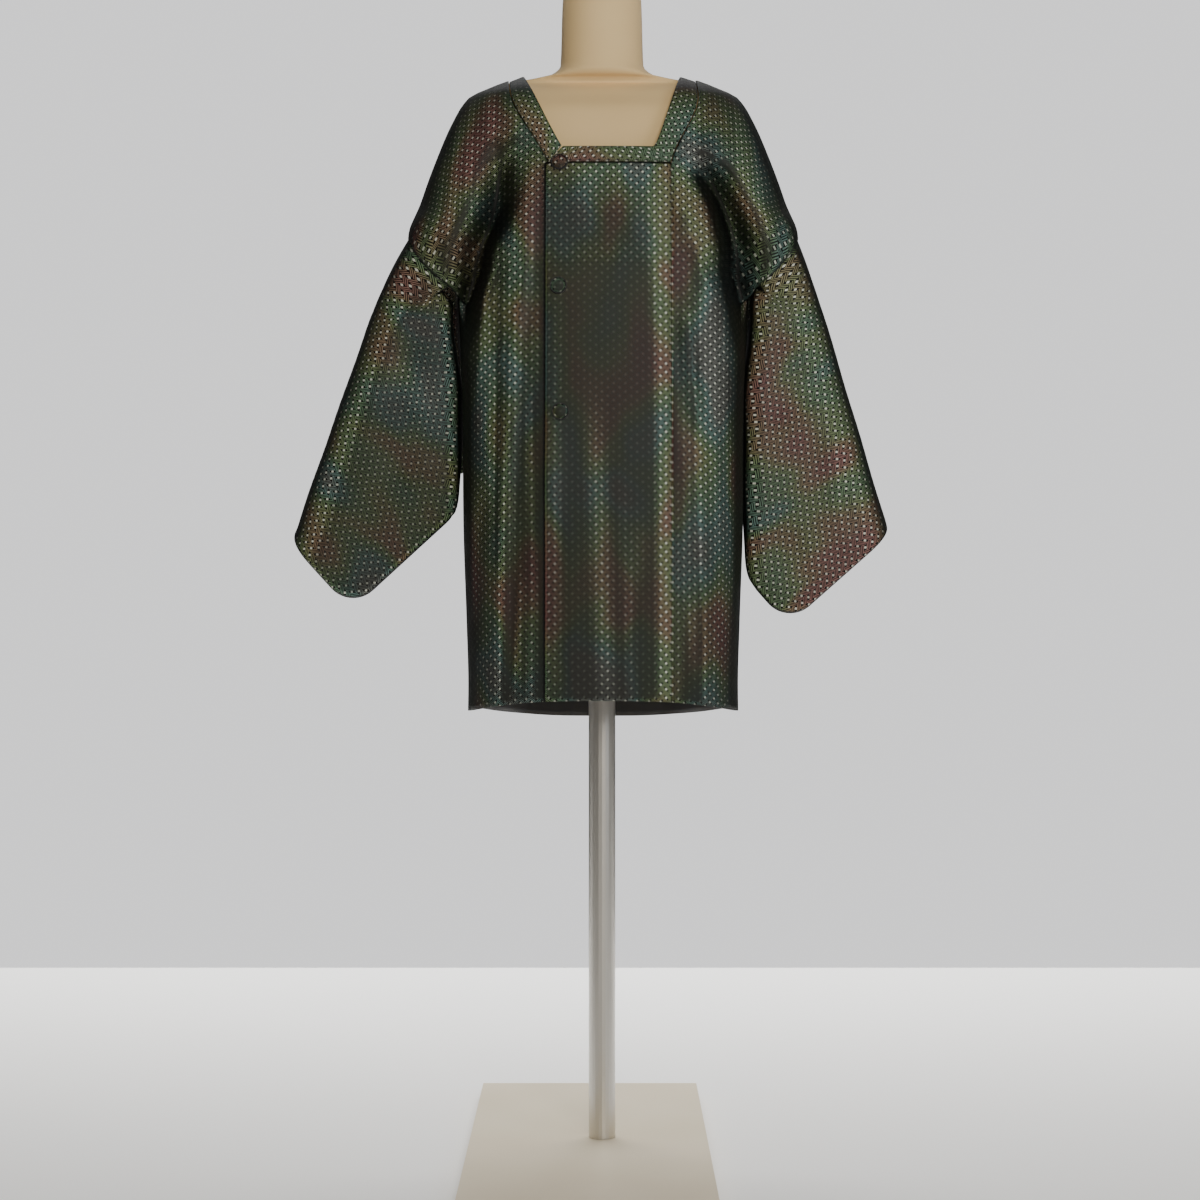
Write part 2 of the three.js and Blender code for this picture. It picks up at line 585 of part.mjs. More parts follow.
function sleeveBag(side) {
  const mirror = side === 'left' ? 1 : -1;
  const { seamEnd, seamCrest } = sleeveSides[side];
  const loop = armholeLoop(side);
  const { width, drop, cuffOpening } = sleeve;
  const lengthLow = width + drop - cuffOpening;
  // Low border of the bag: along the bottom fold, round the corner, up the closed cuff.
  const lowBorder = (f) => {
    const run = f * lengthLow;
    const cut = sleeve.cornerRadius;
    const arc = Math.PI / 2 * cut;
    const straight = width - cut;
    const scaled = run * (straight + arc + drop - cuffOpening - cut) / lengthLow;
    if (scaled < straight) return [scaled, drop];
    if (scaled < straight + arc) {
      const turn = (scaled - straight) / cut;
      return [straight + cut * Math.sin(turn), drop - cut * (1 - Math.cos(turn))];
    }
    return [width, drop - cut - (scaled - straight - arc)];
  };
  const place = (f, c, layer) => {
    const low = lowBorder(f);
    const s = mix(width * f, low[0], c);
    const t = low[1] * c;
    const step = 0.5;
    const middle = bagMiddle(side, s, t);
    const alongS = bagMiddle(side, s + step, t).sub(bagMiddle(side, s - step, t));
    const alongT = bagMiddle(side, s, t + step).sub(bagMiddle(side, s, t - step));
    const normal = alongT.cross(alongS).normalize();
    const toFold = Math.min(c, 1 - c) * low[1];
    const near = clamp01(toFold / sleeve.edgeRound);
    const half = sleeve.halfGap * Math.sqrt(1 - (1 - near) ** 2);
    const point = middle.addScaledVector(normal, layer * half);
    point.x *= mirror;
    const held = (1 - smooth(0, sleeve.joinLength, s)) * (1 - smooth(seamEnd - 6, seamEnd + 22, t));
    if (held <= 0) return point;
    // On the outer layer the seam crosses the outline at seamCrest.
    const crest = loop.outerCrest;
    const share = layer < 0 ? clamp01(t / seamEnd)
      : t < seamCrest ? crest * t / seamCrest
        : clamp01(mix(crest, 1, (t - seamCrest) / (seamEnd - seamCrest)));
    const seamPoint = (layer > 0 ? loop.outer : loop.inner).getPointAt(share);
    return point.lerp(seamPoint, held);
  };
  // Columns lie closer together towards the two folds.
  const spread = (k) => mix(k / sleeveColumns, 0.5 - 0.5 * Math.cos(Math.PI * k / sleeveColumns), 0.55);
  const grid = [];
  for (let i = 0; i <= sleeveRows; i += 1) {
    const f = i / sleeveRows;
    const row = [];
    for (let k = 0; k < sleeveColumns; k += 1) row.push(place(f, spread(k), -1));
    for (let k = sleeveColumns; k > 0; k -= 1) row.push(place(f, spread(k), 1));
    grid.push(row);
  }
  return clothWall(grid, { round: true, flip: side === 'right' });
}

// ---------------------------------------------------------------- buttons
// A covered button: a shallow dome on a short rim, its axis along -Y.
function coveredButton(x, z) {
  const profile = [new THREE.Vector2(0, 0), new THREE.Vector2(button.radius - 1, 0)];
  profile.push(new THREE.Vector2(button.radius, button.rim * 0.6));
  profile.push(new THREE.Vector2(button.radius, button.rim * 1.4));
  const domeSteps = 4;
  for (let k = 1; k <= domeSteps; k += 1) {
    const turn = Math.PI / 2 * k / domeSteps;
    const dome = button.height - button.rim * 1.4;
    const radius = k === domeSteps ? 0 : (button.radius - 0.6) * Math.cos(turn);
    profile.push(new THREE.Vector2(radius, button.rim * 1.4 + dome * Math.sin(turn)));
  }
  const geometry = new THREE.LatheGeometry(profile, 18);
  const step = 6;
  const seat = frontPoint(x, z, 0);
  const acrossX = frontPoint(x + step, z, 0).sub(frontPoint(x - step, z, 0));
  const acrossZ = frontPoint(x, z + step, 0).sub(frontPoint(x, z - step, 0));
  const outward = acrossX.cross(acrossZ).normalize();
  geometry.applyQuaternion(new THREE.Quaternion().setFromUnitVectors(new THREE.Vector3(0, 1, 0), outward));
  seat.addScaledVector(outward, wall / 2 + seamGap + 0.1);
  geometry.translate(seat.x, seat.y, seat.z);
  return geometry;
}

// ---------------------------------------------------------------- dress form
function formRing(row, count = 28) {
  return Array.from({ length: count }, (_, k) => {
    const turn = 2 * Math.PI * k / count - Math.PI / 2;
    const power = 2 / row.square;
    const cosine = Math.cos(turn);
    const sine = Math.sin(turn);
    const depth = sine < 0 ? row.front : row.back;
    return new THREE.Vector3(
      row.halfWidth * Math.sign(cosine) * Math.abs(cosine) ** power,
      (row.side ?? 0) + depth * Math.sign(sine) * Math.abs(sine) ** power,
      row.height,
    );
  });
}

function formTorso() {
  const rows = [...formRows];
  for (const height of [1262, 1273, 1284]) {
    const ring = ringAt(height, 0);
    rows.push({
      height: height - form.shoulderDrop,
      halfWidth: ring.halfWidth - form.shoulderInset - lapStep,
      front: ring.front * 0.82 - lapStep,
      back: ring.back * 0.82 - lapStep,
      side: ring.side,
      square: ring.square,
    });
  }
  rows.push({ height: 1289, halfWidth: 66, front: 47, back: 47, side: 6, square: 2 });
  const round = { front: form.neckRadius, back: form.neckRadius, side: 6, square: 2 };
  rows.push({ height: form.neckBase, halfWidth: form.neckRadius + 3, ...round });
  rows.push({ height: form.neckTop - 8, halfWidth: form.neckRadius, ...round });
  rows.push({
    height: form.neckTop, halfWidth: form.neckRadius - 7, front: 40, back: 40, side: 6, square: 2,
  });
  return loftSolid(rows.map((row) => formRing(row)));
}

function pole() {
  const low = form.boardThick + seamGap;
  const length = formRows[0].height - seamGap - low;
  const geometry = new THREE.CylinderGeometry(form.poleRadius, form.poleRadius, length, 24);
  geometry.rotateX(Math.PI / 2);
  geometry.translate(0, 0, low + length / 2);
  return geometry;
}

function board() {
  const geometry = new THREE.BoxGeometry(form.boardWidth, form.boardDepth, form.boardThick);
  geometry.translate(form.boardShift, 0, form.boardThick / 2);
  return geometry;
}

// ---------------------------------------------------------------- the coat on its form
const group = new THREE.Group();
function add(name, geometry, material) {
  const mesh = new THREE.Mesh(geometry, material);
  mesh.name = name;
  group.add(mesh);
}

add('body_left', bodyHalf('left'), cloth);
add('body_right', bodyHalf('right'), cloth);
add('front_panel_left', frontPanel(overlapEdge, overlapSeam - seamGap / 2, 0, 14), cloth);
add('front_panel_right', frontPanel(underSeam + seamGap / 2, underEdge, lapStep, 12), cloth);
add('neck_band', neckBand(), bandCloth);
add('sleeve_left', sleeveBag('left'), cloth);
add('sleeve_right', sleeveBag('right'), cloth);
for (const row of buttonRows) add(row.name, coveredButton(row.x, row.z), buttonCloth);
add('form_torso', formTorso(), formCloth);
add('form_pole', pole(), poleMetal);
add('form_board', board(), boardWood);

export default group;
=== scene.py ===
import bpy
import math
import numpy as np
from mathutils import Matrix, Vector


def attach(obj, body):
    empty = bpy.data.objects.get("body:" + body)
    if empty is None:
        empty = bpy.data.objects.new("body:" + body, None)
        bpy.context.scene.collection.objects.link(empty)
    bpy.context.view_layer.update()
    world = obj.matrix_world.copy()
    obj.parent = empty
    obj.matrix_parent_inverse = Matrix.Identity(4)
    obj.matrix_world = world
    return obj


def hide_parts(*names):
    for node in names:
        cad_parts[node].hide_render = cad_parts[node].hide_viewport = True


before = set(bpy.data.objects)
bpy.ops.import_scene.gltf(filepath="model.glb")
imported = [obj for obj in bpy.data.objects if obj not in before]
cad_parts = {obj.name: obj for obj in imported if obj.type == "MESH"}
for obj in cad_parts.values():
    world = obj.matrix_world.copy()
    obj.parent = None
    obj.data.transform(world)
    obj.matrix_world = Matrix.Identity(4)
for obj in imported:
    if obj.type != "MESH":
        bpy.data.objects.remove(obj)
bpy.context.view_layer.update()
print("frame loaded")

# Lengths are millimetres until a mesh is made. The coat's front faces -Y, the wearer's left is +X.
wall = 2.0
seamGap = 0.3
bandGap = 0.9
lapStep = wall + 0.6


# ------------------------------------------------------------------ small maths
def mix(a, b, t):
    # a plus the share t of the way to b
    return a + (b - a) * t


def smooth(low, high, value):
    # 3 t squared minus 2 t cubed, with t the share of value between low and high
    t = np.clip((value - low) / (high - low), 0, 1)
    return t * t * (3 - 2 * t)


def bell(offset, width):
    # e to the minus (offset over width) squared
    return np.exp(-(offset / width) ** 2)


def readTable(table, column, height):
    # a cubic through the rows whose slopes are harmonic means, so it never overshoots
    at = np.array(table["height"], float)
    value = np.array(table[column], float)
    slope = np.diff(value) / np.diff(at)
    product = slope[:-1] * slope[1:]
    total = np.where(product > 0, slope[:-1] + slope[1:], 1)
    inner = np.where(product > 0, 2 * product / total, 0)
    slopes = np.concatenate([slope[:1], inner, slope[-1:]])
    height = np.clip(height, at[0], at[-1])
    k = np.clip(np.searchsorted(at, height, side="right") - 1, 0, len(at) - 2)
    span = at[k + 1] - at[k]
    t = (height - at[k]) / span
    return ((2 * t**3 - 3 * t**2 + 1) * value[k] + (t**3 - 2 * t**2 + t) * span * slopes[k]
            + (3 * t**2 - 2 * t**3) * value[k + 1] + (t**3 - t**2) * span * slopes[k + 1])


def fineSteps(marks, longest):
    # the marks with equal steps between them, none longer than longest
    parts = [np.linspace(a, b, max(1, math.ceil((b - a) / longest)), endpoint=False)
             for a, b in zip(marks[:-1], marks[1:])]
    return np.concatenate(parts + [np.array(marks[-1:], float)])


def unit(vectors):
    # each vector over its own length
    return vectors / np.maximum(np.linalg.norm(vectors, axis=-1, keepdims=True), 1e-9)


def runLength(points, axis):
    # distance covered along the grid in one direction
    step = np.linalg.norm(np.diff(points, axis=axis), axis=-1)
    start = np.zeros_like(np.take(step, [0], axis=axis))
    return np.concatenate([start, np.cumsum(step, axis=axis)], axis=axis)


def wobble(t, seed, count=5):
    # a sum of slow sines with seeded sizes and starts, about -1 to 1
    draw = np.random.default_rng(seed)
    size = draw.uniform(0.4, 1, count)
    start = draw.uniform(0, 2 * math.pi, count)
    rate = draw.uniform(0.6, 3.4, count)
    waves = np.sin(2 * math.pi * np.multiply.outer(t, rate) + start) * size
    return waves.sum(-1) / size.sum()


# ------------------------------------------------------------------ meshes
def clothMesh(name, points, cut, material, lining, thick=1.8, around=False, flip=False, keep=None,
              cutOther=None):
    # points is a grid of places; cut holds each one's place on the flat cloth, in mm.
    # cutOther gives other flat places to the cells that it has numbers for.
    rows, cols = points.shape[:2]
    cells = cols if around else cols - 1
    i, j = np.meshgrid(np.arange(rows - 1), np.arange(cells), indexing="ij")
    corners = [(i, j), (i, j + 1), (i + 1, j + 1), (i + 1, j)]
    quads = np.stack([a * cols + b % cols for a, b in corners], -1)
    flat = np.stack([cut[a, b] for a, b in corners], -2)
    if cutOther is not None:
        other = np.stack([cutOther[a, b] for a, b in corners], -2)
        use = np.isfinite(other).all(axis=(-1, -2))
        flat[use] = other[use]
    if flip:
        quads = quads[..., ::-1]
        flat = flat[..., ::-1, :]
    if keep is not None:
        quads = quads[keep]
        flat = flat[keep]
    quads = quads.reshape(-1, 4)
    used, quads = np.unique(quads, return_inverse=True)
    mesh = bpy.data.meshes.new(name)
    mesh.from_pydata(points.reshape(-1, 3)[used] / 1000, [], quads.reshape(-1, 4))
    mesh.uv_layers.new(name="cut").data.foreach_set("uv", flat.reshape(-1).astype(np.float32))
    mesh.polygons.foreach_set("use_smooth", np.ones(len(mesh.polygons), bool))
    mesh.materials.append(material)
    mesh.materials.append(lining)
    piece = bpy.data.objects.new(name, mesh)
    bpy.context.scene.collection.objects.link(piece)
    if thick:
        shell = piece.modifiers.new("thickness", "SOLIDIFY")
        shell.thickness = thick / 1000
        shell.offset = 0
        shell.use_even_offset = False
        shell.material_offset = 1
        shell.material_offset_rim = 0
    return piece


def settle(piece, *nodes, slot):
    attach(piece, "root")
    if nodes:
        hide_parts(*nodes)
    return piece


# ------------------------------------------------------------------ materials
def linear(colour):
    # sRGB hex to linear light
    parts = [int(colour[k:k + 2], 16) / 255 for k in (1, 3, 5)]
    return [c / 12.92 if c <= 0.04045 else ((c + 0.055) / 1.055) ** 2.4 for c in parts] + [1]


def put(tree, kind, links=(), **settings):
    # adds one node; links gives each input a socket or a value
    node = tree.nodes.new(kind)
    for key, value in settings.items():
        setattr(node, key, value)
    for key, value in dict(links).items():
        if isinstance(value, bpy.types.NodeSocket):
            tree.links.new(value, node.inputs[key])
        else:
            node.inputs[key].default_value = value
    return node


def newMaterial(name):
    material = bpy.data.materials.new(name)
    material.use_nodes = True
    tree = material.node_tree
    tree.nodes.clear()
    return material, tree


weave = {
    "column": 6.7,          # mm between the columns of lozenges
    "row": 9.8,             # mm between two lozenges of a column
    "lozenge": (1.75, 1.65), # its half width and half height
    "barReach": 4.1,        # how far a bar runs to each side of its column
    "barSlope": 0.731,
    "thread": 0.86,         # width of one line of a bar
    "patch": (58, 110),     # size of the dyed patches across and along the warp
    "patches": [(0.30, "#794540"), (0.40, "#776040"), (0.47, "#637342"), (0.55, "#4a6b46"),
                (0.64, "#436a66"), (0.74, "#585c59")],
    "sheenStreak": (24, 330),    # size of the long streaks of painted sheen on the threads, across and along the warp
    "ground": ("#15140f", "#020202"),    # the satin facing the viewer, and the black painted on it as shade where the cloth turns away
    "groundDye": 0.036,     # how much of the patch colour the facing satin keeps
    "threadLight": "#e4e6d6",
    "pitch": 1.25,          # from one line of a bar to the next, in widths of a line
    "barHalf": 2.5,         # half width of a bar, in lines
    "drift": (31.7, 17.3, 5.1),          # how far a seed moves the patches, and the streaks of painted sheen
    "streakDrift": (7.9, 3.3, 2.1),
    "streakRise": (0.52, 0.68),          # noise between which a streak of painted sheen rises
    "streakGain": (0.48, 0.85),          # how much painted sheen a streak adds, and the most it reaches
    "turned": (0.022, 0.13, 0.66),       # facing values over which painted sheen is added as the cloth turns away, and how much
    "grazing": (0.22, 0.62, 0.06),       # where the threads are painted fainter towards the outline, as shade, and to what
    "paintedBlack": (0.22, 0.9),               # loudness between which the satin is painted black, as shade where it turns away
    "threadWhite": 0.08,                 # how far a bar is bleached to the light thread
    "sparkWhite": (0.24, 0.66),          # how far a lozenge is lightened to the light thread, quiet and loud: painted sheen
    "barPart": 0.36,                     # a bar's strength where the cloth is quiet
    "dotPart": 0.60,                     # a lozenge's
    "rough": (0.50, 0.66),               # of the satin and of a thread
    "relief": (0.35, 0.0002),            # strength and metres that a thread stands up
    "shadeStripColour": (0.0004, 0.0004, 0.0004, 1),
}


def jacquard(name, seed, quiet, sheenStreaks=weave["sheenStreak"], sheenStrips=(), shadeStrips=()):
    # Dark satin whose broad shine lifts it to grey-brown where it faces the light,
    # with matt lighter threads in small lozenges and slanting bars. Where the satin turns away
    # it is painted black as shade and the threads are painted brighter as sheen, so they stand out. Vat-dyed
    # patches drift under it.
    # Each row of the strips has x at its top, x at its low end, half width, top z, low z,
    # strength and how softly it ends, all on the front. Painted sheen strips brighten the threads
    # where the cloth leans to the light; painted shade strips lie under an edge or at the bottom of a hollow.
    material, tree = newMaterial(name)
    place = put(tree, "ShaderNodeUVMap", uv_map="cut").outputs[0]
    axes = put(tree, "ShaderNodeSeparateXYZ", {0: place})
    across = put(tree, "ShaderNodeMath", {0: axes.outputs[0], 1: weave["column"]},
                 operation="DIVIDE").outputs[0]
    column = put(tree, "ShaderNodeMath", {0: across}, operation="ROUND").outputs[0]
    away = put(tree, "ShaderNodeMath", {0: across, 1: column}, operation="SUBTRACT").outputs[0]
    along = put(tree, "ShaderNodeMath", {0: axes.outputs[1], 1: weave["row"]}, operation="DIVIDE").outputs[0]
    nextSide = put(tree, "ShaderNodeMath", {0: away}, operation="SIGN").outputs[0]

    def columnMasks(columnSocket, awaySocket):
        # the lozenge and the bar of one column, from the distance to its middle line
        odd = put(tree, "ShaderNodeMath", {0: columnSocket, 1: 2}, operation="FLOORED_MODULO").outputs[0]
        shifted = put(tree, "ShaderNodeMath", {0: odd, 1: 0.5, 2: along}, operation="MULTIPLY_ADD").outputs[0]
        dx = put(tree, "ShaderNodeMath", {0: awaySocket, 1: weave["column"]}, operation="MULTIPLY").outputs[0]
        reach = put(tree, "ShaderNodeMath", {0: dx}, operation="ABSOLUTE").outputs[0]
        nearest = put(tree, "ShaderNodeMath", {0: shifted}, operation="ROUND").outputs[0]
        dotY = put(tree, "ShaderNodeMath", {0: shifted, 1: nearest}, operation="SUBTRACT").outputs[0]
        dotHigh = put(tree, "ShaderNodeMath", {0: dotY}, operation="ABSOLUTE").outputs[0]
        lozengeX = put(tree, "ShaderNodeMath", {0: reach, 1: weave["lozenge"][0]},
                       operation="DIVIDE").outputs[0]
        lozengeRows = weave["row"] / weave["lozenge"][1]
        lozenge = put(tree, "ShaderNodeMath", {0: dotHigh, 1: lozengeRows, 2: lozengeX},
                      operation="MULTIPLY_ADD").outputs[0]
        dot = put(tree, "ShaderNodeMath", {0: lozenge, 1: 1}, operation="LESS_THAN").outputs[0]
        cell = put(tree, "ShaderNodeMath", {0: shifted}, operation="FRACT").outputs[0]
        barY = put(tree, "ShaderNodeMath", {0: cell, 1: 0.5}, operation="SUBTRACT").outputs[0]
        barMm = put(tree, "ShaderNodeMath", {0: barY, 1: weave["row"]}, operation="MULTIPLY").outputs[0]
        lean = put(tree, "ShaderNodeMath", {0: odd, 1: -2 * weave["barSlope"], 2: weave["barSlope"]},
                   operation="MULTIPLY_ADD").outputs[0]
        rise = put(tree, "ShaderNodeMath", {0: lean, 1: dx}, operation="MULTIPLY").outputs[0]
        off = put(tree, "ShaderNodeMath", {0: barMm, 1: rise}, operation="SUBTRACT").outputs[0]
        offAbs = put(tree, "ShaderNodeMath", {0: off}, operation="ABSOLUTE").outputs[0]
        threads = put(tree, "ShaderNodeMath", {0: offAbs, 1: weave["thread"] * weave["pitch"]},
                      operation="DIVIDE").outputs[0]
        whole = put(tree, "ShaderNodeMath", {0: threads}, operation="ROUND").outputs[0]
        even = put(tree, "ShaderNodeMath", {0: whole, 1: 2}, operation="FLOORED_MODULO").outputs[0]
        light = put(tree, "ShaderNodeMath", {0: even, 1: 0.5}, operation="LESS_THAN").outputs[0]
        within = put(tree, "ShaderNodeMath", {0: threads, 1: weave["barHalf"]},
                     operation="LESS_THAN").outputs[0]
        short = put(tree, "ShaderNodeMath", {0: reach, 1: weave["barReach"]},
                    operation="LESS_THAN").outputs[0]
        both = put(tree, "ShaderNodeMath", {0: light, 1: within}, operation="MULTIPLY").outputs[0]
        bar = put(tree, "ShaderNodeMath", {0: both, 1: short}, operation="MULTIPLY").outputs[0]
        return dot, bar

    dotHere, barHere = columnMasks(column, away)
    beside = put(tree, "ShaderNodeMath", {0: column, 1: nextSide}, operation="ADD").outputs[0]
    awayBeside = put(tree, "ShaderNodeMath", {0: away, 1: nextSide}, operation="SUBTRACT").outputs[0]
    dotBeside, barBeside = columnMasks(beside, awayBeside)
    bars = put(tree, "ShaderNodeMath", {0: barHere, 1: barBeside}, operation="MAXIMUM").outputs[0]
    dots = put(tree, "ShaderNodeMath", {0: dotHere, 1: dotBeside}, operation="MAXIMUM").outputs[0]

    # dyed patches, stretched a little along the warp
    drift = put(tree, "ShaderNodeMapping", {
        0: place, "Location": [seed * part for part in weave["drift"]],
        "Scale": (1 / weave["patch"][0], 1 / weave["patch"][1], 1)}).outputs[0]
    patch = put(tree, "ShaderNodeTexNoise", {
        "Vector": drift, "Scale": 1.0, "Detail": 1.2, "Roughness": 0.45, "Distortion": 0.25})
    ramp = put(tree, "ShaderNodeValToRGB", {0: patch.outputs[0]})
    stops = ramp.color_ramp.elements
    for k, (at, colour) in enumerate(weave["patches"]):
        stop = stops[k] if k < 2 else stops.new(at)
        stop.position = at
        stop.color = linear(colour)
    dye = ramp.outputs[0]

    # painted sheen: the silk threads are painted brighter where the cloth turns away, and along long streaks
    # of noise
    lengthwise = put(tree, "ShaderNodeMapping", {
        0: place, "Location": [seed * part for part in weave["streakDrift"]],
        "Scale": (1 / sheenStreaks[0], 1 / sheenStreaks[1], 1)}).outputs[0]
    sheenStreak = put(tree, "ShaderNodeTexNoise", {
        "Vector": lengthwise, "Scale": 1.0, "Detail": 1.5, "Roughness": 0.4,
        "Distortion": 0.12}).outputs[0]
    gain, loudest = weave["streakGain"]
    streakSheen = put(tree, "ShaderNodeMapRange", {
        0: sheenStreak, 1: weave["streakRise"][0], 2: weave["streakRise"][1],
        3: quiet, 4: min(loudest, quiet + gain)}).outputs[0]
    facing = put(tree, "ShaderNodeLayerWeight", {"Blend": 0.5}).outputs["Facing"]
    turned = put(tree, "ShaderNodeMapRange", {
        0: facing, 1: weave["turned"][0], 2: weave["turned"][1], 3: 0.0,
        4: weave["turned"][2]}).outputs[0]
    loud = put(tree, "ShaderNodeMath", {0: streakSheen, 1: turned}, operation="ADD",
               use_clamp=True).outputs[0]
    position = put(tree, "ShaderNodeTexCoord").outputs["Object"]
    spot = put(tree, "ShaderNodeSeparateXYZ", {0: position})

    def strip(topX, lowX, half, topZ, lowZ, high, ease):
        # high times a smooth bump across the strip, eased off at both ends
        middle = put(tree, "ShaderNodeMapRange", {
            0: spot.outputs[2], 1: lowZ / 1000, 2: topZ / 1000,
            3: lowX / 1000, 4: topX / 1000}).outputs[0]
        aside = put(tree, "ShaderNodeMath", {0: spot.outputs[0], 1: middle},
                    operation="SUBTRACT").outputs[0]
        far = put(tree, "ShaderNodeMath", {0: aside}, operation="ABSOLUTE").outputs[0]
        bump = put(tree, "ShaderNodeMapRange", {0: far, 1: 0, 2: half / 1000, 3: high, 4: 0},
                   interpolation_type="SMOOTHSTEP").outputs[0]
        above = put(tree, "ShaderNodeMapRange", {
            0: spot.outputs[2], 1: (lowZ - ease) / 1000, 2: (lowZ + ease) / 1000},
                    interpolation_type="SMOOTHSTEP").outputs[0]
        below = put(tree, "ShaderNodeMapRange", {
            0: spot.outputs[2], 1: (topZ - ease) / 1000, 2: (topZ + ease) / 1000, 3: 1, 4: 0},
                    interpolation_type="SMOOTHSTEP").outputs[0]
        ahead = put(tree, "ShaderNodeMath", {0: spot.outputs[1], 1: 0},
                    operation="LESS_THAN").outputs[0]
        between = put(tree, "ShaderNodeMath", {0: above, 1: below}, operation="MULTIPLY").outputs[0]
        inside = put(tree, "ShaderNodeMath", {0: between, 1: ahead}, operation="MULTIPLY").outputs[0]
        return put(tree, "ShaderNodeMath", {0: bump, 1: inside}, operation="MULTIPLY").outputs[0]

    # strips of painted sheen, where the cloth leans to the light
    for row in sheenStrips:
        loud = put(tree, "ShaderNodeMath", {0: loud, 1: strip(*row)}, operation="ADD",
                   use_clamp=True).outputs[0]
    # the threads are painted fainter towards the outline, as shade
    grazing = put(tree, "ShaderNodeMapRange", {
        0: facing, 1: weave["grazing"][0], 2: weave["grazing"][1], 3: 1.0,
        4: weave["grazing"][2]}).outputs[0]
    strength = put(tree, "ShaderNodeMath", {0: loud, 1: grazing}, operation="MULTIPLY").outputs[0]
    faceOn = put(tree, "ShaderNodeMix", {0: weave["groundDye"], 6: linear(weave["ground"][0]), 7: dye},
                 data_type="RGBA").outputs[2]
    # the satin is painted black as shade where the painted sheen is strong
    paintedBlack = put(tree, "ShaderNodeMapRange", {
        0: loud, 1: weave["paintedBlack"][0], 2: weave["paintedBlack"][1]}).outputs[0]
    ground = put(tree, "ShaderNodeMix", {0: paintedBlack, 6: faceOn, 7: linear(weave["ground"][1])},
                 data_type="RGBA").outputs[2]
    thread = put(tree, "ShaderNodeMix", {
        0: weave["threadWhite"], 6: dye, 7: linear(weave["threadLight"])},
                 data_type="RGBA").outputs[2]
    # painted sheen lightens the lozenges
    whitened = put(tree, "ShaderNodeMapRange", {
        0: loud, 3: weave["sparkWhite"][0], 4: weave["sparkWhite"][1]}).outputs[0]
    spark = put(tree, "ShaderNodeMix", {0: whitened, 6: dye, 7: linear(weave["threadLight"])},
                data_type="RGBA").outputs[2]
    barPart = put(tree, "ShaderNodeMapRange", {0: loud, 3: weave["barPart"], 4: 1.0}).outputs[0]
    dotPart = put(tree, "ShaderNodeMapRange", {0: loud, 3: weave["dotPart"], 4: 1.0}).outputs[0]
    barStrength = put(tree, "ShaderNodeMath", {0: strength, 1: barPart}, operation="MULTIPLY").outputs[0]
    dotStrength = put(tree, "ShaderNodeMath", {0: strength, 1: dotPart}, operation="MULTIPLY").outputs[0]
    barShare = put(tree, "ShaderNodeMath", {0: bars, 1: barStrength}, operation="MULTIPLY").outputs[0]
    dotShare = put(tree, "ShaderNodeMath", {0: dots, 1: dotStrength}, operation="MULTIPLY").outputs[0]
    withBars = put(tree, "ShaderNodeMix", {0: barShare, 6: ground, 7: thread}, data_type="RGBA").outputs[2]
    colour = put(tree, "ShaderNodeMix", {0: dotShare, 6: withBars, 7: spark}, data_type="RGBA").outputs[2]
    # strips of painted shade, near black
    for row in shadeStrips:
        colour = put(tree, "ShaderNodeMix", {0: strip(*row), 6: colour, 7: weave["shadeStripColour"]},
                     data_type="RGBA").outputs[2]
    threads = put(tree, "ShaderNodeMath", {0: bars, 1: dots}, operation="MAXIMUM").outputs[0]
    rough = put(tree, "ShaderNodeMapRange", {
        0: threads, 3: weave["rough"][0], 4: weave["rough"][1]}).outputs[0]
    lift = put(tree, "ShaderNodeBump", {
        "Height": threads, "Strength": weave["relief"][0], "Distance": weave["relief"][1]}).outputs[0]
    shader = put(tree, "ShaderNodeBsdfPrincipled", {
        "Base Color": colour, "Roughness": rough, "Normal": lift, "Specular IOR Level": 0.2})
    put(tree, "ShaderNodeOutputMaterial", {0: shader.outputs[0]})
    return material


def plainCloth(name, colour, darker, rough, grain):
    # a fine even weave: the colour wanders a little and the threads catch light
    material, tree = newMaterial(name)
    place = put(tree, "ShaderNodeTexCoord").outputs["Object"]
    cloudy = put(tree, "ShaderNodeTexNoise", {"Vector": place, "Scale": 9.0, "Detail": 4}).outputs[0]
    colourMix = put(tree, "ShaderNodeMix", {0: cloudy, 6: linear(darker), 7: linear(colour)},
                    data_type="RGBA").outputs[2]
    fibre = put(tree, "ShaderNodeTexNoise", {"Vector": place, "Scale": 1000 / grain, "Detail": 1}).outputs[0]
    lift = put(tree, "ShaderNodeBump", {"Height": fibre, "Strength": 0.25, "Distance": 0.0003}).outputs[0]
    shader = put(tree, "ShaderNodeBsdfPrincipled", {
        "Base Color": colourMix, "Roughness": rough, "Normal": lift, "Sheen Weight": 0.15,
        "Sheen Roughness": 0.5})
    put(tree, "ShaderNodeOutputMaterial", {0: shader.outputs[0]})
    return material


# On the body the first rows paint sheen on the threads; the second paint shade in the arm hollows, along a
# crease of the right body and under the overlap's edge.
bodySilk = {
    "left": jacquard("silk jacquard of the left body", 3, 0.12,
                     sheenStrips=[(112, 150, 15, 1090, 620, 0.35, 70)],
                     shadeStrips=[(126, 153, 14, 1165, 1085, 0.85, 25), (153, 168, 15, 1085, 1010, 0.85, 25)]),
    "right": jacquard("silk jacquard of the right body", 31, 0.12,
                      sheenStrips=[(-80, -122, 13, 1130, 560, 0.35, 70)],
                      shadeStrips=[(-66.2, -66.2, 2.9, 1168, 470, 1.0, 3),
                            (-88, -117, 5, 1140, 1080, 0.4, 15),
                            (-117, -121, 5, 1080, 700, 0.5, 30),
                            (-117, -137, 14, 1165, 1085, 0.85, 25),
                            (-137, -163, 15, 1085, 1010, 0.85, 25)]),
}
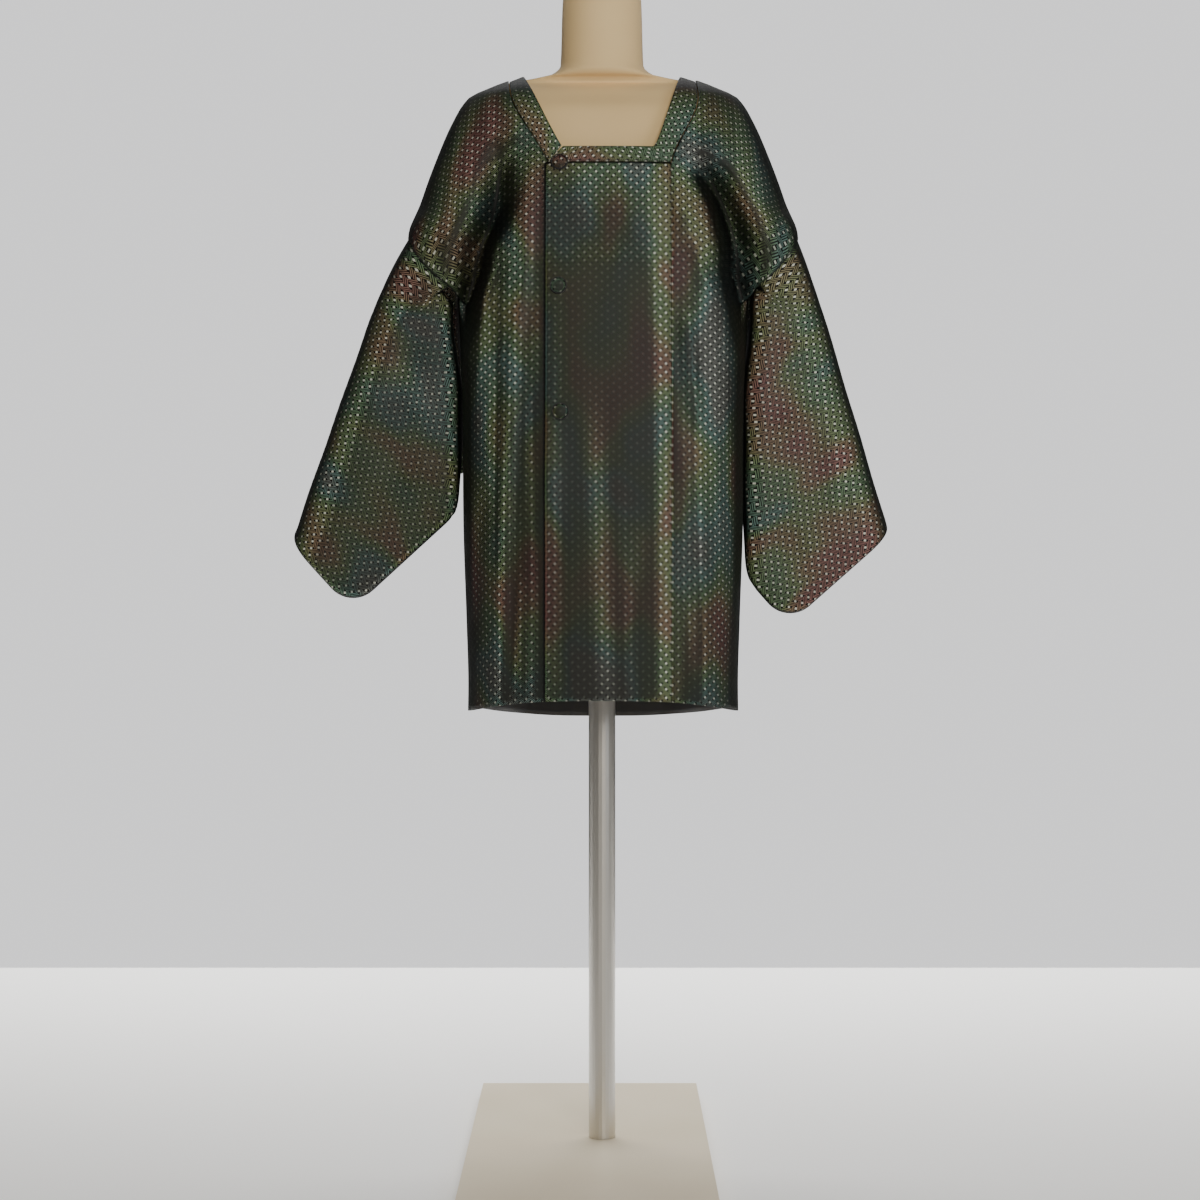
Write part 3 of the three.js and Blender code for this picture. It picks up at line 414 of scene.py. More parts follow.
# the front panels' strips of painted sheen
panelSilk = jacquard("silk jacquard of the front panels", 8, 0.16, sheenStreaks=(60, 420),
                     sheenStrips=[(66, 73, 17, 1150, 540, 0.70, 70), (-8, 6, 20, 860, 540, 0.55, 70),
                            (-52, -50, 12, 1000, 520, 0.2, 70), (26, 34, 12, 760, 520, 0.25, 70)])
# The number after each seed is that part's least painted sheen: the sleeves and the neck band get far more
# than the body, the panels and the buttons, the left sleeve most.
sleeveSilk = {
    "left": jacquard("silk jacquard of the left sleeve", 14, 0.80, sheenStreaks=(90, 150)),
    "right": jacquard("silk jacquard of the right sleeve", 45, 0.50, sheenStreaks=(90, 150)),
}
bandSilk = jacquard("silk jacquard of the neck band", 21, 0.5)
# near-black silk, painted as the shade round each button's rim
rimShadeSilk = plainCloth("silk in the shade of a button's rim", "#060605", "#040404", 0.8, 0.6)
liningSilk = plainCloth("black lining silk", "#1c1b1c", "#121213", 0.42, 0.6)
buttonSilk = jacquard("silk jacquard of the buttons", 52, 0.12)
formJersey = plainCloth("cream cotton jersey", "#e2c591", "#d8b881", 0.8, 0.7)

# ------------------------------------------------------------------ body surface
hem = {"side": 531, "frontRise": 16, "backDrop": 15, "fadeTop": 700}
panels = {"overlapEdge": -65.5, "overlapSeam": 80, "underEdge": 74, "underSeam": -58, "top": 1169}
neck = {
    "seamTop": 1284, "seamHalf": 112, "backDepth": 49, "bandWidth": 19,
    "cornerInner": {"left": (61, 1188.5), "right": (46, 1188.5)},
    "cornerOuter": {"left": (81.5, 1169.5), "right": (63, 1169.5)},
}
bodyTable = {
    "height": [500, 562, 635, 760, 885, 1000, 1036, 1048, 1061, 1076, 1106, 1141, 1201, 1231, 1262,
               1273, 1284, 1292],
    "halfWidth": [162, 161, 163, 167, 168, 173, 175, 177, 207, 233, 227, 217, 195, 182, 163, 142,
                  117, 92],
    "front": [141, 141, 140, 138, 134, 126.8, 123.6, 122.3, 120.6, 118.6, 114.2, 108, 91, 79, 58, 45,
              26, 8],
    "back": [140, 137, 134, 130, 126, 122, 120, 120, 119, 118, 116, 113, 102, 92, 73, 58, 36, 14],
    "side": [0, 0, 0, 0, 0, 0, 0, 0, 1, 2, 2, 3, 4, 5, 5, 5, 5, 5],
    "square": [3.0, 3.0, 3.0, 3.0, 2.9, 2.8, 2.8, 2.8, 2.7, 2.6, 2.6, 2.6, 2.6, 2.6, 2.5, 2.4, 2.3, 2.2],
}
neckTable = {
    "left": {"height": [1169, 1181, 1258, 1284], "edge": [80, 84, 114, 112]},
    "right": {"height": [1169, 1181, 1258, 1284], "edge": [62, 68, 108, 112]},
}
# The hollow between the chest and the shoulder cloth; flap is that cloth's soft tongue.
armTable = {
    "left": {
        "height": [950, 985, 1022, 1048, 1087, 1124, 1155, 1172, 1190, 1225],
        "at": [168, 167, 165, 161, 154, 143, 128, 122, 120, 120],
        "depth": [0, 20, 44, 60, 62, 52, 38, 12, 0, 0],
        "backDepth": [0, 4, 10, 18, 26, 26, 20, 14, 8, 0],
        "flap": [0, 0, 2, 15, 7, 0, 0, 0, 0, 0],
    },
    "right": {
        "height": [950, 985, 1022, 1054, 1083, 1124, 1161, 1185, 1210, 1225],
        "at": [168, 165, 160, 149, 138, 125, 119, 116, 114, 114],
        "depth": [0, 20, 46, 60, 60, 44, 32, 12, 0, 0],
        "backDepth": [0, 4, 10, 20, 26, 26, 18, 10, 4, 0],
        "flap": [0, 0, 2, 15, 8, 0, 0, 0, 0, 0],
    },
}
armShape = {"widthFront": 18, "widthBack": 24, "backShift": 14, "flapAngle": 27, "flapSpread": 13, "lift": 18,
            "tongueDrop": 20, "liftRows": (1048, 1076, 1141), "dropRows": (1000, 1048, 1106)}
armhole = {"low": 1048, "top": 1076, "frontAngle": 25, "backAngle": 40}
# The middle of each front stays flat up to here and has its full folds further out.
flatFront = {"left": (38, 62), "right": (74, 88)}

# Folds: face, side, x and z of the top end, x and z of the low end, rise, width.
foldTable = [
    ("front", "right", 72, 1165, 104, 930, 5, 9),
    ("front", "right", 104, 960, 121, 480, 5, 10),
    ("front", "right", 100, 1160, 122, 1000, -5, 9),
    ("front", "right", 120, 1090, 144, 990, 4, 9),
    ("front", "right", 136, 800, 150, 590, -4, 9),
    ("front", "left", 80, 1140, 80, 480, -3, 14),
    ("front", "left", 96, 1000, 110, 850, 5, 9),
    ("front", "left", 105, 880, 120, 480, 5, 11),
    ("front", "left", 88, 1130, 126, 1010, 5, 9),
    ("front", "left", 138, 1010, 112, 900, -4, 8),
    ("front", "left", 78, 1182, 142, 1180, 4, 10),
    ("back", "right", 70, 1090, 96, 480, 6, 20),
    ("back", "right", 118, 1040, 134, 480, -6, 16),
    ("back", "left", 62, 1060, 88, 480, 6, 20),
    ("back", "left", 114, 1060, 130, 480, -6, 16),
]
# Smaller creases that only the fine surface has, listed the same way.
creaseTable = [
    ("front", "right", 133, 1040, 146, 900, 2.2, 5),
    ("front", "right", 104, 1000, 128, 860, -1.6, 6),
    ("front", "right", 96, 700, 104, 540, -1.4, 7),
    ("front", "right", 96, 1215, 134, 1165, 2.4, 7),
    ("front", "right", 82, 1215, 96, 1140, -1.8, 6),
    ("front", "left", 98, 1104, 128, 1030, -3.2, 6),
    ("front", "left", 138, 1010, 112, 905, 1.8, 5),
    ("front", "left", 140, 880, 147, 640, -1.8, 7),
    ("front", "left", 100, 820, 108, 560, -1.2, 7),
    ("front", "left", 104, 1205, 138, 1160, 2.2, 7),
    ("back", "right", 30, 1180, 92, 1060, 2.4, 12),
    ("back", "right", 100, 1180, 138, 1070, -2.6, 9),
    ("back", "right", 34, 900, 44, 480, -1.6, 12),
    ("back", "left", 34, 1190, 86, 1050, 2.2, 12),
    ("back", "left", 96, 1175, 136, 1075, -2.8, 9),
    ("back", "left", 30, 860, 40, 480, -1.4, 12),
]


def relief(face, side, x, height, fine=True):
    # Each fold adds its rise times a bell of the distance to its line, eased in at
    # its ends; the arm hollow is taken off.
    rise = np.zeros(np.broadcast(x, height).shape)
    for number, row in enumerate(foldTable + (creaseTable if fine else [])):
        if row[:2] != (face, side):
            continue
        topX, topZ, lowX, lowZ, high, wide = row[2:]
        runX, runZ = lowX - topX, lowZ - topZ
        length = math.hypot(runX, runZ)
        along = ((x - topX) * runX + (height - topZ) * runZ) / length**2
        away = ((x - topX) * runZ - (height - topZ) * runX) / length
        sway = 1.6 * wobble(along * 0.6, 40 + number) if fine else 0
        strength = smooth(0, 0.2, along) * (1 if lowZ < hem["side"] else smooth(1, 0.8, along))
        strength = np.where((along < 0) | (along > 1), 0, strength)
        rise = rise + high * strength * bell(away + sway, wide)
    if face == "front":
        rise = rise * smooth(*flatFront[side], x)
        deep = readTable(armTable[side], "depth", height)
        shift, wide = 0, armShape["widthFront"]
    else:
        deep = readTable(armTable[side], "backDepth", height)
        shift, wide = armShape["backShift"], armShape["widthBack"]
    return rise - deep * bell(x - readTable(armTable[side], "at", height) - shift, wide)


def ringAt(height, inset):
    ring = {name: readTable(bodyTable, name, height)
            for name in ("halfWidth", "front", "back", "side", "square")}
    for name in ("halfWidth", "front", "back"):
        ring[name] = ring[name] - inset
    return ring


def ringPoint(side, height, angle, inset, fine=True, smoothed=False):
    # A rounded rectangle seen from above: x is half width times cos to the power
    # 2 / square, y the depth times sin to that power; 90 is the centre front.
    # Smoothed leaves out folds, hollows and tongues.
    height, angle = np.broadcast_arrays(np.asarray(height, float), np.asarray(angle, float))
    ring = ringAt(height, inset)
    power = 2 / ring["square"]
    turn = np.radians(np.abs(angle))
    front = angle >= 0
    formed = 0 if smoothed else 1
    flap = np.where(front, readTable(armTable[side], "flap", height), 0)
    tongue = formed * np.where(front, bell(angle - armShape["flapAngle"], armShape["flapSpread"]), 0)
    cosine = np.maximum(np.cos(turn), 0)
    sine = np.sin(turn)
    x = ring["halfWidth"] * cosine**power + flap * tongue
    depth = np.where(front, ring["front"], ring["back"]) * sine**power
    folds = np.where(front, relief("front", side, x, height, fine), relief("back", side, x, height, fine))
    out = depth + formed * folds * np.minimum(1, sine * 2.5)
    y = ring["side"] + np.where(front, -out, out)
    low = 1 - smooth(hem["side"], hem["fadeTop"], height)
    shift = np.where(front, hem["frontRise"], -hem["backDrop"]) * sine**2 * low
    (a, b, c), (d, e, f) = armShape["liftRows"], armShape["dropRows"]
    lift = formed * armShape["lift"] * np.cos(turn) ** 2 * smooth(a, b, height) * (1 - smooth(b, c, height))
    drop = armShape["tongueDrop"] * tongue * smooth(d, e, height) * (1 - smooth(e, f, height))
    mirror = 1 if side == "left" else -1
    return np.stack([mirror * x, y, height + shift + lift - drop], -1)


def angleOfX(x, height, inset):
    # the angle whose place on the ring has that x
    ring = ringAt(height, inset)
    share = np.minimum(1, np.abs(x) / ring["halfWidth"])
    return np.degrees(np.arccos(share ** (ring["square"] / 2)))


def frontPoint(x, height, inset):
    x, height = np.broadcast_arrays(np.asarray(x, float), np.asarray(height, float))
    left = ringPoint("left", height, angleOfX(x, height, inset), inset)
    right = ringPoint("right", height, angleOfX(x, height, inset), inset)
    return np.where((x >= 0)[..., None], left, right)


insetOf = {"left": 0.0, "right": lapStep}


def insetAt(side, angle):
    # the right half lies under the left one in front and level with it at the back
    return insetOf[side] * smooth(-72, -30, angle)


bodyMarks = [531, 600, 670, 745, 820, 895, 955, 1000, 1024, 1037, 1048, 1061, 1076, 1106, 1138, 1171,
             1205, 1235, 1242, 1251, 1262, 1273, 1284]
fanSteps = {"front": 44, "frontArm": 14, "backArm": 18, "back": 46}


def neckSeamX(height):
    return neck["seamHalf"] * np.sqrt(np.maximum(0, 1 - (neck["seamTop"] - height) / neck["backDepth"]))


def bodyGrid(side):
    # rows of equal height; the columns fan from the front seam round the side to the back,
    # once with the folds and once without them
    inset = insetOf[side]
    heights = fineSteps(bodyMarks, 6)
    seamX = panels["overlapSeam"] if side == "left" else -panels["underSeam"]
    frontX = np.where(heights <= panels["top"], seamX, readTable(neckTable[side], "edge", heights))
    start = angleOfX(frontX + seamGap / 2, heights, inset)
    end = -angleOfX(np.maximum(neckSeamX(heights), seamGap / 2), heights, 0)
    front = np.minimum(armhole["frontAngle"], start * 0.55)
    back = np.maximum(-armhole["backAngle"], end * 0.55)
    fans = [(start, front, fanSteps["front"]), (front, 0 * front, fanSteps["frontArm"]),
            (0 * front, back, fanSteps["backArm"]), (back, end, fanSteps["back"])]
    angles = np.concatenate(
        [mix(a[:, None], b[:, None], np.arange(n)[None, :] / n) for a, b, n in fans] + [end[:, None]], 1)
    inset = insetAt(side, angles)
    points = ringPoint(side, heights[:, None], angles, inset)
    smoothed = ringPoint(side, heights[:, None], angles, inset, smoothed=True)
    return heights, points, smoothed


def gridNormals(points, side):
    across = np.gradient(points, axis=1)
    up = np.gradient(points, axis=0)
    return unit(np.cross(across, up)) * (1 if side == "left" else -1)


bodies = {side: bodyGrid(side) for side in ("left", "right")}
armColumns = (fanSteps["front"], fanSteps["front"] + fanSteps["frontArm"] + fanSteps["backArm"])
sideColumn = fanSteps["front"] + fanSteps["frontArm"]


def bodyHalf(side):
    heights, points, spread = bodies[side]
    # a seam sinks a little at the front edge and at the centre back
    columns = points.shape[1]
    toSeam = np.minimum(runLength(points, 1), runLength(points[:, ::-1], 1)[:, ::-1])
    points = points - gridNormals(points, side) * (0.5 * bell(toSeam, 2.0))[..., None]
    up = runLength(spread, 0)
    frontRun = runLength(spread, 1) + np.abs(points[:, :1, 0])
    backRun = runLength(spread[:, ::-1], 1)[:, ::-1] + np.abs(points[:, -1:, 0])
    cutFront = np.stack([frontRun, up], -1)
    cutBack = np.stack([backRun + 2.6, up + 4.0], -1)
    cutBack[:, :sideColumn] = np.nan
    cells = np.ones((len(heights) - 1, columns - 1), bool)
    rowIn = (heights[:-1] >= armhole["low"]) & (heights[:-1] < armhole["top"])
    cells[np.ix_(rowIn, np.arange(*armColumns))] = False
    piece = clothMesh("body_" + side + "_silk", points, cutFront, bodySilk[side], liningSilk,
                      flip=side == "right", keep=cells, cutOther=cutBack)
    settle(piece, "body_" + side, slot="silk_jacquard")
    return piece


coat = [bodyHalf("left"), bodyHalf("right")]
print("body halves made")


# ------------------------------------------------------------------ front panels
def frontPanel(name, fromX, toX, inset, node):
    # strips between two seams; the free edge rolls back a little
    heights = fineSteps([h for h in bodyMarks if h < panels["top"]] + [panels["top"] - seamGap / 2], 6)
    xs = np.linspace(fromX, toX, 52)
    points = frontPoint(xs[None, :], heights[:, None], inset)
    normal = gridNormals(points, "left")
    free = xs[0] if inset == 0 else xs[-1]
    sewn = xs[-1] if inset == 0 else xs[0]
    roll = -0.8 * bell(xs - free, 1.6) - 0.5 * bell(xs - sewn, 2.0)
    gape = 0
    if inset == 0:
        gape = 2.6 * bell(heights[:, None] - 800, 46) * smooth(-35, -64, xs)[None, :]
    points = points + normal * (roll[None, :] + gape)[..., None]
    cut = np.stack([runLength(points, 1) + 1.5, runLength(points, 0)], -1)
    piece = clothMesh(name, points, cut, panelSilk, liningSilk)
    settle(piece, node, slot="silk_jacquard")
    return piece


coat.append(frontPanel("upper_front_panel", panels["overlapEdge"], panels["overlapSeam"] - seamGap / 2, 0,
                       "front_panel_left"))
coat.append(frontPanel("lower_front_panel", panels["underSeam"] + seamGap / 2, panels["underEdge"], lapStep,
                       "front_panel_right"))
print("front panels made")


# ------------------------------------------------------------------ neck band
# ahead is the number of places along the front; the blend smooths all behind them.
band = {"thick": 1.5, "turns": 26, "blend": 3, "ahead": 60}


def neckStations():
    # pairs of places: on the neck seam, and on the band's free edge
    seam, free = [], []
    t = np.linspace(0, 1, band["ahead"], endpoint=False)
    (inLeft, outLeft), (inRight, outRight) = [
        (neck["cornerInner"][name], neck["cornerOuter"][name]) for name in ("left", "right")]
    seam.append(frontPoint(mix(-outRight[0] + 1, outLeft[0], t), outLeft[1], 0))
    free.append(frontPoint(mix(-inRight[0] + 1, inLeft[0], t), inLeft[1], 0))
    heights = fineSteps([h for h in bodyMarks if h > panels["top"]], 3)

    def sidePair(side):
        mirror = 1 if side == "left" else -1
        share = (heights - panels["top"]) / (neck["seamTop"] - panels["top"])
        outer = readTable(neckTable[side], "edge", heights) - bandGap
        inner = mix(neck["cornerInner"][side][0], neck["seamHalf"] - neck["bandWidth"], share**0.9)
        innerZ = mix(neck["cornerInner"][side][1], neck["seamTop"] + 5, share)
        inset = insetOf[side]
        return frontPoint(mirror * outer, heights, inset), frontPoint(mirror * inner, innerZ, inset)

    left = sidePair("left")
    right = sidePair("right")
    seam.append(left[0])
    free.append(left[1])
    turn = np.linspace(0, math.pi, 90)
    backHeights = neck["seamTop"] - neck["backDepth"] * np.sin(turn) ** 2
    side = np.where(turn < math.pi / 2, 1, -1)
    x = np.maximum(0, neckSeamX(backHeights) - bandGap)
    places = []
    for name in ("left", "right"):
        inset = insetAt(name, -angleOfX(x, backHeights, 0))
        places.append(ringPoint(name, backHeights, -angleOfX(x, backHeights, inset), inset))
    outer = np.where((side > 0)[:, None], places[0], places[1])
    outer[:, 2] += bandGap * (1 - x / neck["seamHalf"])
    around = np.arctan2(neck["seamTop"] - backHeights, x / neck["seamHalf"] * neck["backDepth"])
    lean = mix(0.86, 0.42, np.sin(around))
    inward = neck["bandWidth"] * lean
    inner = outer + np.stack([-side * np.cos(around) * inward, -np.sin(around) * inward,
                              neck["bandWidth"] * np.sqrt(1 - lean**2)], -1)
    seam.append(outer[1:-1])
    free.append(inner[1:-1])
    seam.append(right[0][::-1])
    free.append(right[1][::-1])
    return np.concatenate(seam), np.concatenate(free)


def neckBand():
    # a flat tube: across it runs from the seam to the free edge and back, its
    # height above the middle is half the thickness times a flattened sine
    seam, free = neckStations()
    for _ in range(band["blend"]):
        for line in (seam, free):
            first = band["ahead"]
            line[first:-1] = (line[first - 1:-2] + 2 * line[first:-1] + line[first + 1:]) / 4
    along = np.gradient(seam + free, axis=0)
    across = free - seam
    normal = unit(np.cross(along, across))
    phi = np.linspace(0, 2 * math.pi, band["turns"], endpoint=False)
    share = 0.5 - 0.5 * np.cos(phi)
    high = band["thick"] * np.sign(np.sin(phi)) * np.abs(np.sin(phi)) ** 0.45
    points = (seam[:, None] + across[:, None] * share[None, :, None] + normal[:, None] * high[None, :, None])
    width = np.linalg.norm(across, axis=-1)
    run = np.concatenate([[0], np.cumsum(np.linalg.norm(np.diff((seam + free) / 2, axis=0), axis=-1))])
    phiAll = np.append(phi, 2 * math.pi)
    folded = np.where(phiAll <= math.pi, 0.5 - 0.5 * np.cos(phiAll), 1.5 + 0.5 * np.cos(phiAll))
    cut = np.stack(np.broadcast_arrays(folded[None, :] * width[:, None], run[:, None]), -1)
    piece = clothMesh("neck_band_silk", points, cut, bandSilk, liningSilk, thick=0, around=True, flip=True)
    settle(piece, "neck_band", slot="neck_silk")
    return piece


coat.append(neckBand())
print("neck band made")

# ------------------------------------------------------------------ sleeves
sleeve = {
    "width": 330, "drop": 490, "cuffOpening": 240, "cornerRadius": 34, "halfGap": 7, "edgeRound": 22,
    "frontY": -34, "creaseRadius": 38, "curlTurn": 70, "curlLength": 110, "gather": 0.6,
    "bodySideX": (177.5, 186), "bodySideRise": (900, 1000), "bodySideRadius": 12,
    "seamStep": -1.6, "joinLength": 95, "rows": 120, "columns": 88, "bunch": 0.55, "breath": 1.4,
    "left": {"corner": (220, 633), "weftAngle": 48.5, "creaseTop": (232, 1093), "creaseLow": (336, 743),
             "seamEnd": 235, "seamCrest": 180},
    "right": {"corner": (297, 651), "weftAngle": 42.5, "creaseTop": (234, 1103), "creaseLow": (361, 741),
              "seamEnd": 268, "seamCrest": 215},
}
# Creases of the sleeves: side, x and z of both ends before the cloth is rolled, rise, width.
sleeveCreases = [
    ("left", 206, 870, 262, 916, 3.0, 8),
    ("left", 243, 930, 256, 905, -2.6, 8),
    ("left", 268, 872, 272, 780, 2.4, 9),
    ("left", 286, 792, 296, 738, -2.4, 9),
    ("left", 214, 960, 250, 1010, 2.0, 10),
    ("left", 232, 760, 262, 690, 1.8, 12),
    ("right", 206, 893, 226, 880, 2.8, 8),
    ("right", 202, 826, 232, 800, 2.4, 9),
    ("right", 240, 1000, 286, 880, 2.0, 12),
    ("right", 262, 830, 318, 742, 1.8, 13),
    ("right", 218, 960, 250, 905, -2.2, 10),
]


def rollBack(q):
    # past the crease the cloth turns a quarter on a small radius, then curls wider
    radius = sleeve["creaseRadius"]
    quarter = radius * math.pi / 2
    first = np.clip((q + radius) / radius, 0, math.pi / 2)
    outA = -radius + radius * np.sin(first)
    backA = radius * (1 - np.cos(first))
    wide = sleeve["curlLength"] / math.radians(sleeve["curlTurn"])
    past = q + radius - quarter
    turn = math.pi / 2 + np.clip(past, 0, sleeve["curlLength"]) / wide
    rest = sleeve["gather"] * np.maximum(0, past - sleeve["curlLength"])
    outB = wide * (np.sin(turn) - 1) + rest * np.cos(turn)
    backB = radius - wide * np.cos(turn) + rest * np.sin(turn)
    out = np.where(q <= -radius, q, np.where(past <= 0, outA, outB))
    back = np.where(q <= -radius, 0, np.where(past <= 0, backA, backB))
    return out, back


def bagMiddle(sizes, s, t):
    # Flat cloth in a plane that faces forward, turned by its weft angle about the
    # cuff's low corner, rolled back at the crease and turned back beside the body.
    weft = math.radians(sizes["weftAngle"])
    backS, backT = sleeve["width"] - s, sleeve["drop"] - t
    x = sizes["corner"][0] - backS * math.cos(weft) + backT * math.sin(weft)
    z = sizes["corner"][1] + backS * math.sin(weft) + backT * math.cos(weft)
    top, low = np.array(sizes["creaseTop"]), np.array(sizes["creaseLow"])
    down = unit(low - top)
    out = (-down[1], down[0])
    q = (x - top[0]) * out[0] + (z - top[1]) * out[1]
    outward, backward = rollBack(q)
    px = x + (outward - q) * out[0]
    pz = z + (outward - q) * out[1]
    py = sleeve["frontY"] + backward
    radius = sleeve["bodySideRadius"]
    sideX = mix(*sleeve["bodySideX"], smooth(*sleeve["bodySideRise"], pz))
    inside = np.maximum(0, sideX + radius - px)
    turn = np.minimum(inside / radius, math.pi / 2)
    py = py + np.where(inside > 0, radius * (1 - np.cos(turn)) + inside - turn * radius, 0)
    px = np.where(inside > 0, sideX + radius * (1 - np.sin(turn)), px)
    return np.stack([px, py, pz], -1), x, z


def armholeLoop(side):
    # the armhole's edge moved outwards, as an outer and an inner run from back to front
    heights, points = bodies[side][:2]
    moved = points + gridNormals(points, side) * sleeve["seamStep"]
    low = int(np.argmin(np.abs(heights - armhole["low"])))
    top = int(np.argmin(np.abs(heights - armhole["top"])))
    front, back = armColumns
    outer = np.concatenate([moved[top, front:back + 1][::-1], moved[low:top, front][::-1]])
    inner = np.concatenate([moved[low:top + 1, back][::-1], moved[low, front + 1:back][::-1]])
    runs = []
    for line in (outer, inner):
        length = runLength(line, 0)
        runs.append((length / length[-1], line))
    crest = runs[0][0][fanSteps["backArm"]]
    return runs, crest


def onLine(run, share):
    return np.stack([np.interp(share, run[0], run[1][:, k]) for k in range(3)], -1)


def sleeveBag(side):
    sizes = sleeve[side]
    mirror = 1 if side == "left" else -1
    width, drop, radius = sleeve["width"], sleeve["drop"], sleeve["cornerRadius"]
    columnsCount = sleeve["columns"]
    f = np.linspace(0, 1, sleeve["rows"] + 1)
    arc = math.pi / 2 * radius
    straight = width - radius
    run = f * (straight + arc + drop - sleeve["cuffOpening"] - radius)
    turn = np.clip((run - straight) / radius, 0, math.pi / 2)
    inArc = run < straight + arc
    lowS = np.where(inArc, straight + radius * np.sin(turn), width)
    lowS = np.where(run < straight, run, lowS)
    lowT = np.where(inArc, drop - radius * (1 - np.cos(turn)), drop - radius - (run - straight - arc))
    lowT = np.where(run < straight, drop, lowT)
    k = np.arange(columnsCount) / columnsCount
    spread = mix(k, 0.5 - 0.5 * np.cos(np.pi * k), sleeve["bunch"])
    c = np.concatenate([spread, 1 - spread])
    layer = np.concatenate([-np.ones(columnsCount), np.ones(columnsCount)])
    s = mix(width * f[:, None], lowS[:, None], c[None, :])
    t = lowT[:, None] * c[None, :]
    middle, flatX, flatZ = bagMiddle(sizes, s, t)
    alongS = bagMiddle(sizes, s + 0.5, t)[0] - bagMiddle(sizes, s - 0.5, t)[0]
    alongT = bagMiddle(sizes, s, t + 0.5)[0] - bagMiddle(sizes, s, t - 0.5)[0]
    normal = unit(np.cross(alongT, alongS))
    toFold = np.minimum(c, 1 - c)[None, :] * lowT[:, None]
    near = np.clip(toFold / sleeve["edgeRound"], 0, 1)
    half = sleeve["halfGap"] * np.sqrt(1 - (1 - near) ** 2)
    crease = np.zeros_like(s)
    for number, (which, x0, z0, x1, z1, high, wide) in enumerate(sleeveCreases):
        if which != side:
            continue
        run0 = np.array([x1 - x0, z1 - z0], float)
        length = np.hypot(*run0)
        along = ((flatX - x0) * run0[0] + (flatZ - z0) * run0[1]) / length**2
        off = ((flatX - x0) * -run0[1] + (flatZ - z0) * run0[0]) / length
        off = off + 3 * wobble(along * 0.5, 70 + number)
        ends = smooth(-0.15, 0.25, along) * smooth(1.15, 0.75, along)
        crease = crease + high * ends * bell(off, wide)
    slow = wobble((s * 0.7 + t) / 400, 91 if side == "left" else 97)
    breath = sleeve["breath"] * slow * smooth(0, 60, toFold)
    points = middle + normal * (layer[None, :] * half + crease + breath)[..., None]
    points[..., 0] *= mirror
    seamEnd, seamCrest = sizes["seamEnd"], sizes["seamCrest"]
    held = (1 - smooth(0, sleeve["joinLength"], s)) * (1 - smooth(seamEnd - 6, seamEnd + 22, t))
    (outer, inner), crest = armholeLoop(side)
    shareIn = np.clip(t / seamEnd, 0, 1)
    pastCrest = np.clip(mix(crest, 1, (t - seamCrest) / (seamEnd - seamCrest)), 0, 1)
    shareOut = np.where(t < seamCrest, crest * t / seamCrest, pastCrest)
    seat = np.where((layer > 0)[None, :, None], onLine(outer, shareOut), onLine(inner, shareIn))
    points = mix(points, seat, held[..., None])
    # flat places: the back layer runs from the top fold one way, the front layer the other
    flatT = np.concatenate([t * layer[None, :], 0 * t[:, :1]], 1)
    flatT[:, -1] = -t[:, 0]
    # where the cloth is drawn to the armhole, its real length counts
    real = np.linalg.norm(np.diff(points, axis=0), axis=-1)
    longer = real - np.hypot(np.diff(s, axis=0), np.diff(t, axis=0))
    longer = np.where(held[:-1] > 0, longer, 0)
    s = s - np.concatenate([np.cumsum(longer[::-1], 0)[::-1], 0 * s[:1]])
    flatS = np.concatenate([s, s[:, :1]], 1)
    cut = np.stack([flatS, flatT], -1)
    wrapped = np.full(cut.shape, np.nan)
    wrapped[:, columnsCount - 1] = cut[:, columnsCount - 1]
    wrapped[:, columnsCount] = np.stack([s[:, columnsCount], -t[:, columnsCount]], -1)
    piece = clothMesh("sleeve_" + side + "_silk", points, cut, sleeveSilk[side], liningSilk, around=True,
                      flip=side == "left", cutOther=wrapped)
    settle(piece, "sleeve_" + side, slot="silk_jacquard")
    return piece


coat += [sleeveBag("left"), sleeveBag("right")]
print("sleeves made")

# ------------------------------------------------------------------ buttons
buttons = {
    "places": {"top": (-49, 1168), "middle": (-50, 1022), "bottom": (-47.5, 877)},
    "radius": 9.8, "height": 3.6, "rings": 61, "around": 56, "rim": 0.55,
    "profile": [(0, 1), (0.25, 0.99), (0.5, 0.93), (0.68, 0.82), (0.76, 0.66), (0.80, 0.52), (0.84, 0.66),
                (0.90, 0.80), (0.96, 0.74), (1, 0.55), (1, 0.25), (0.96, 0.04), (0.7, 0)],
}


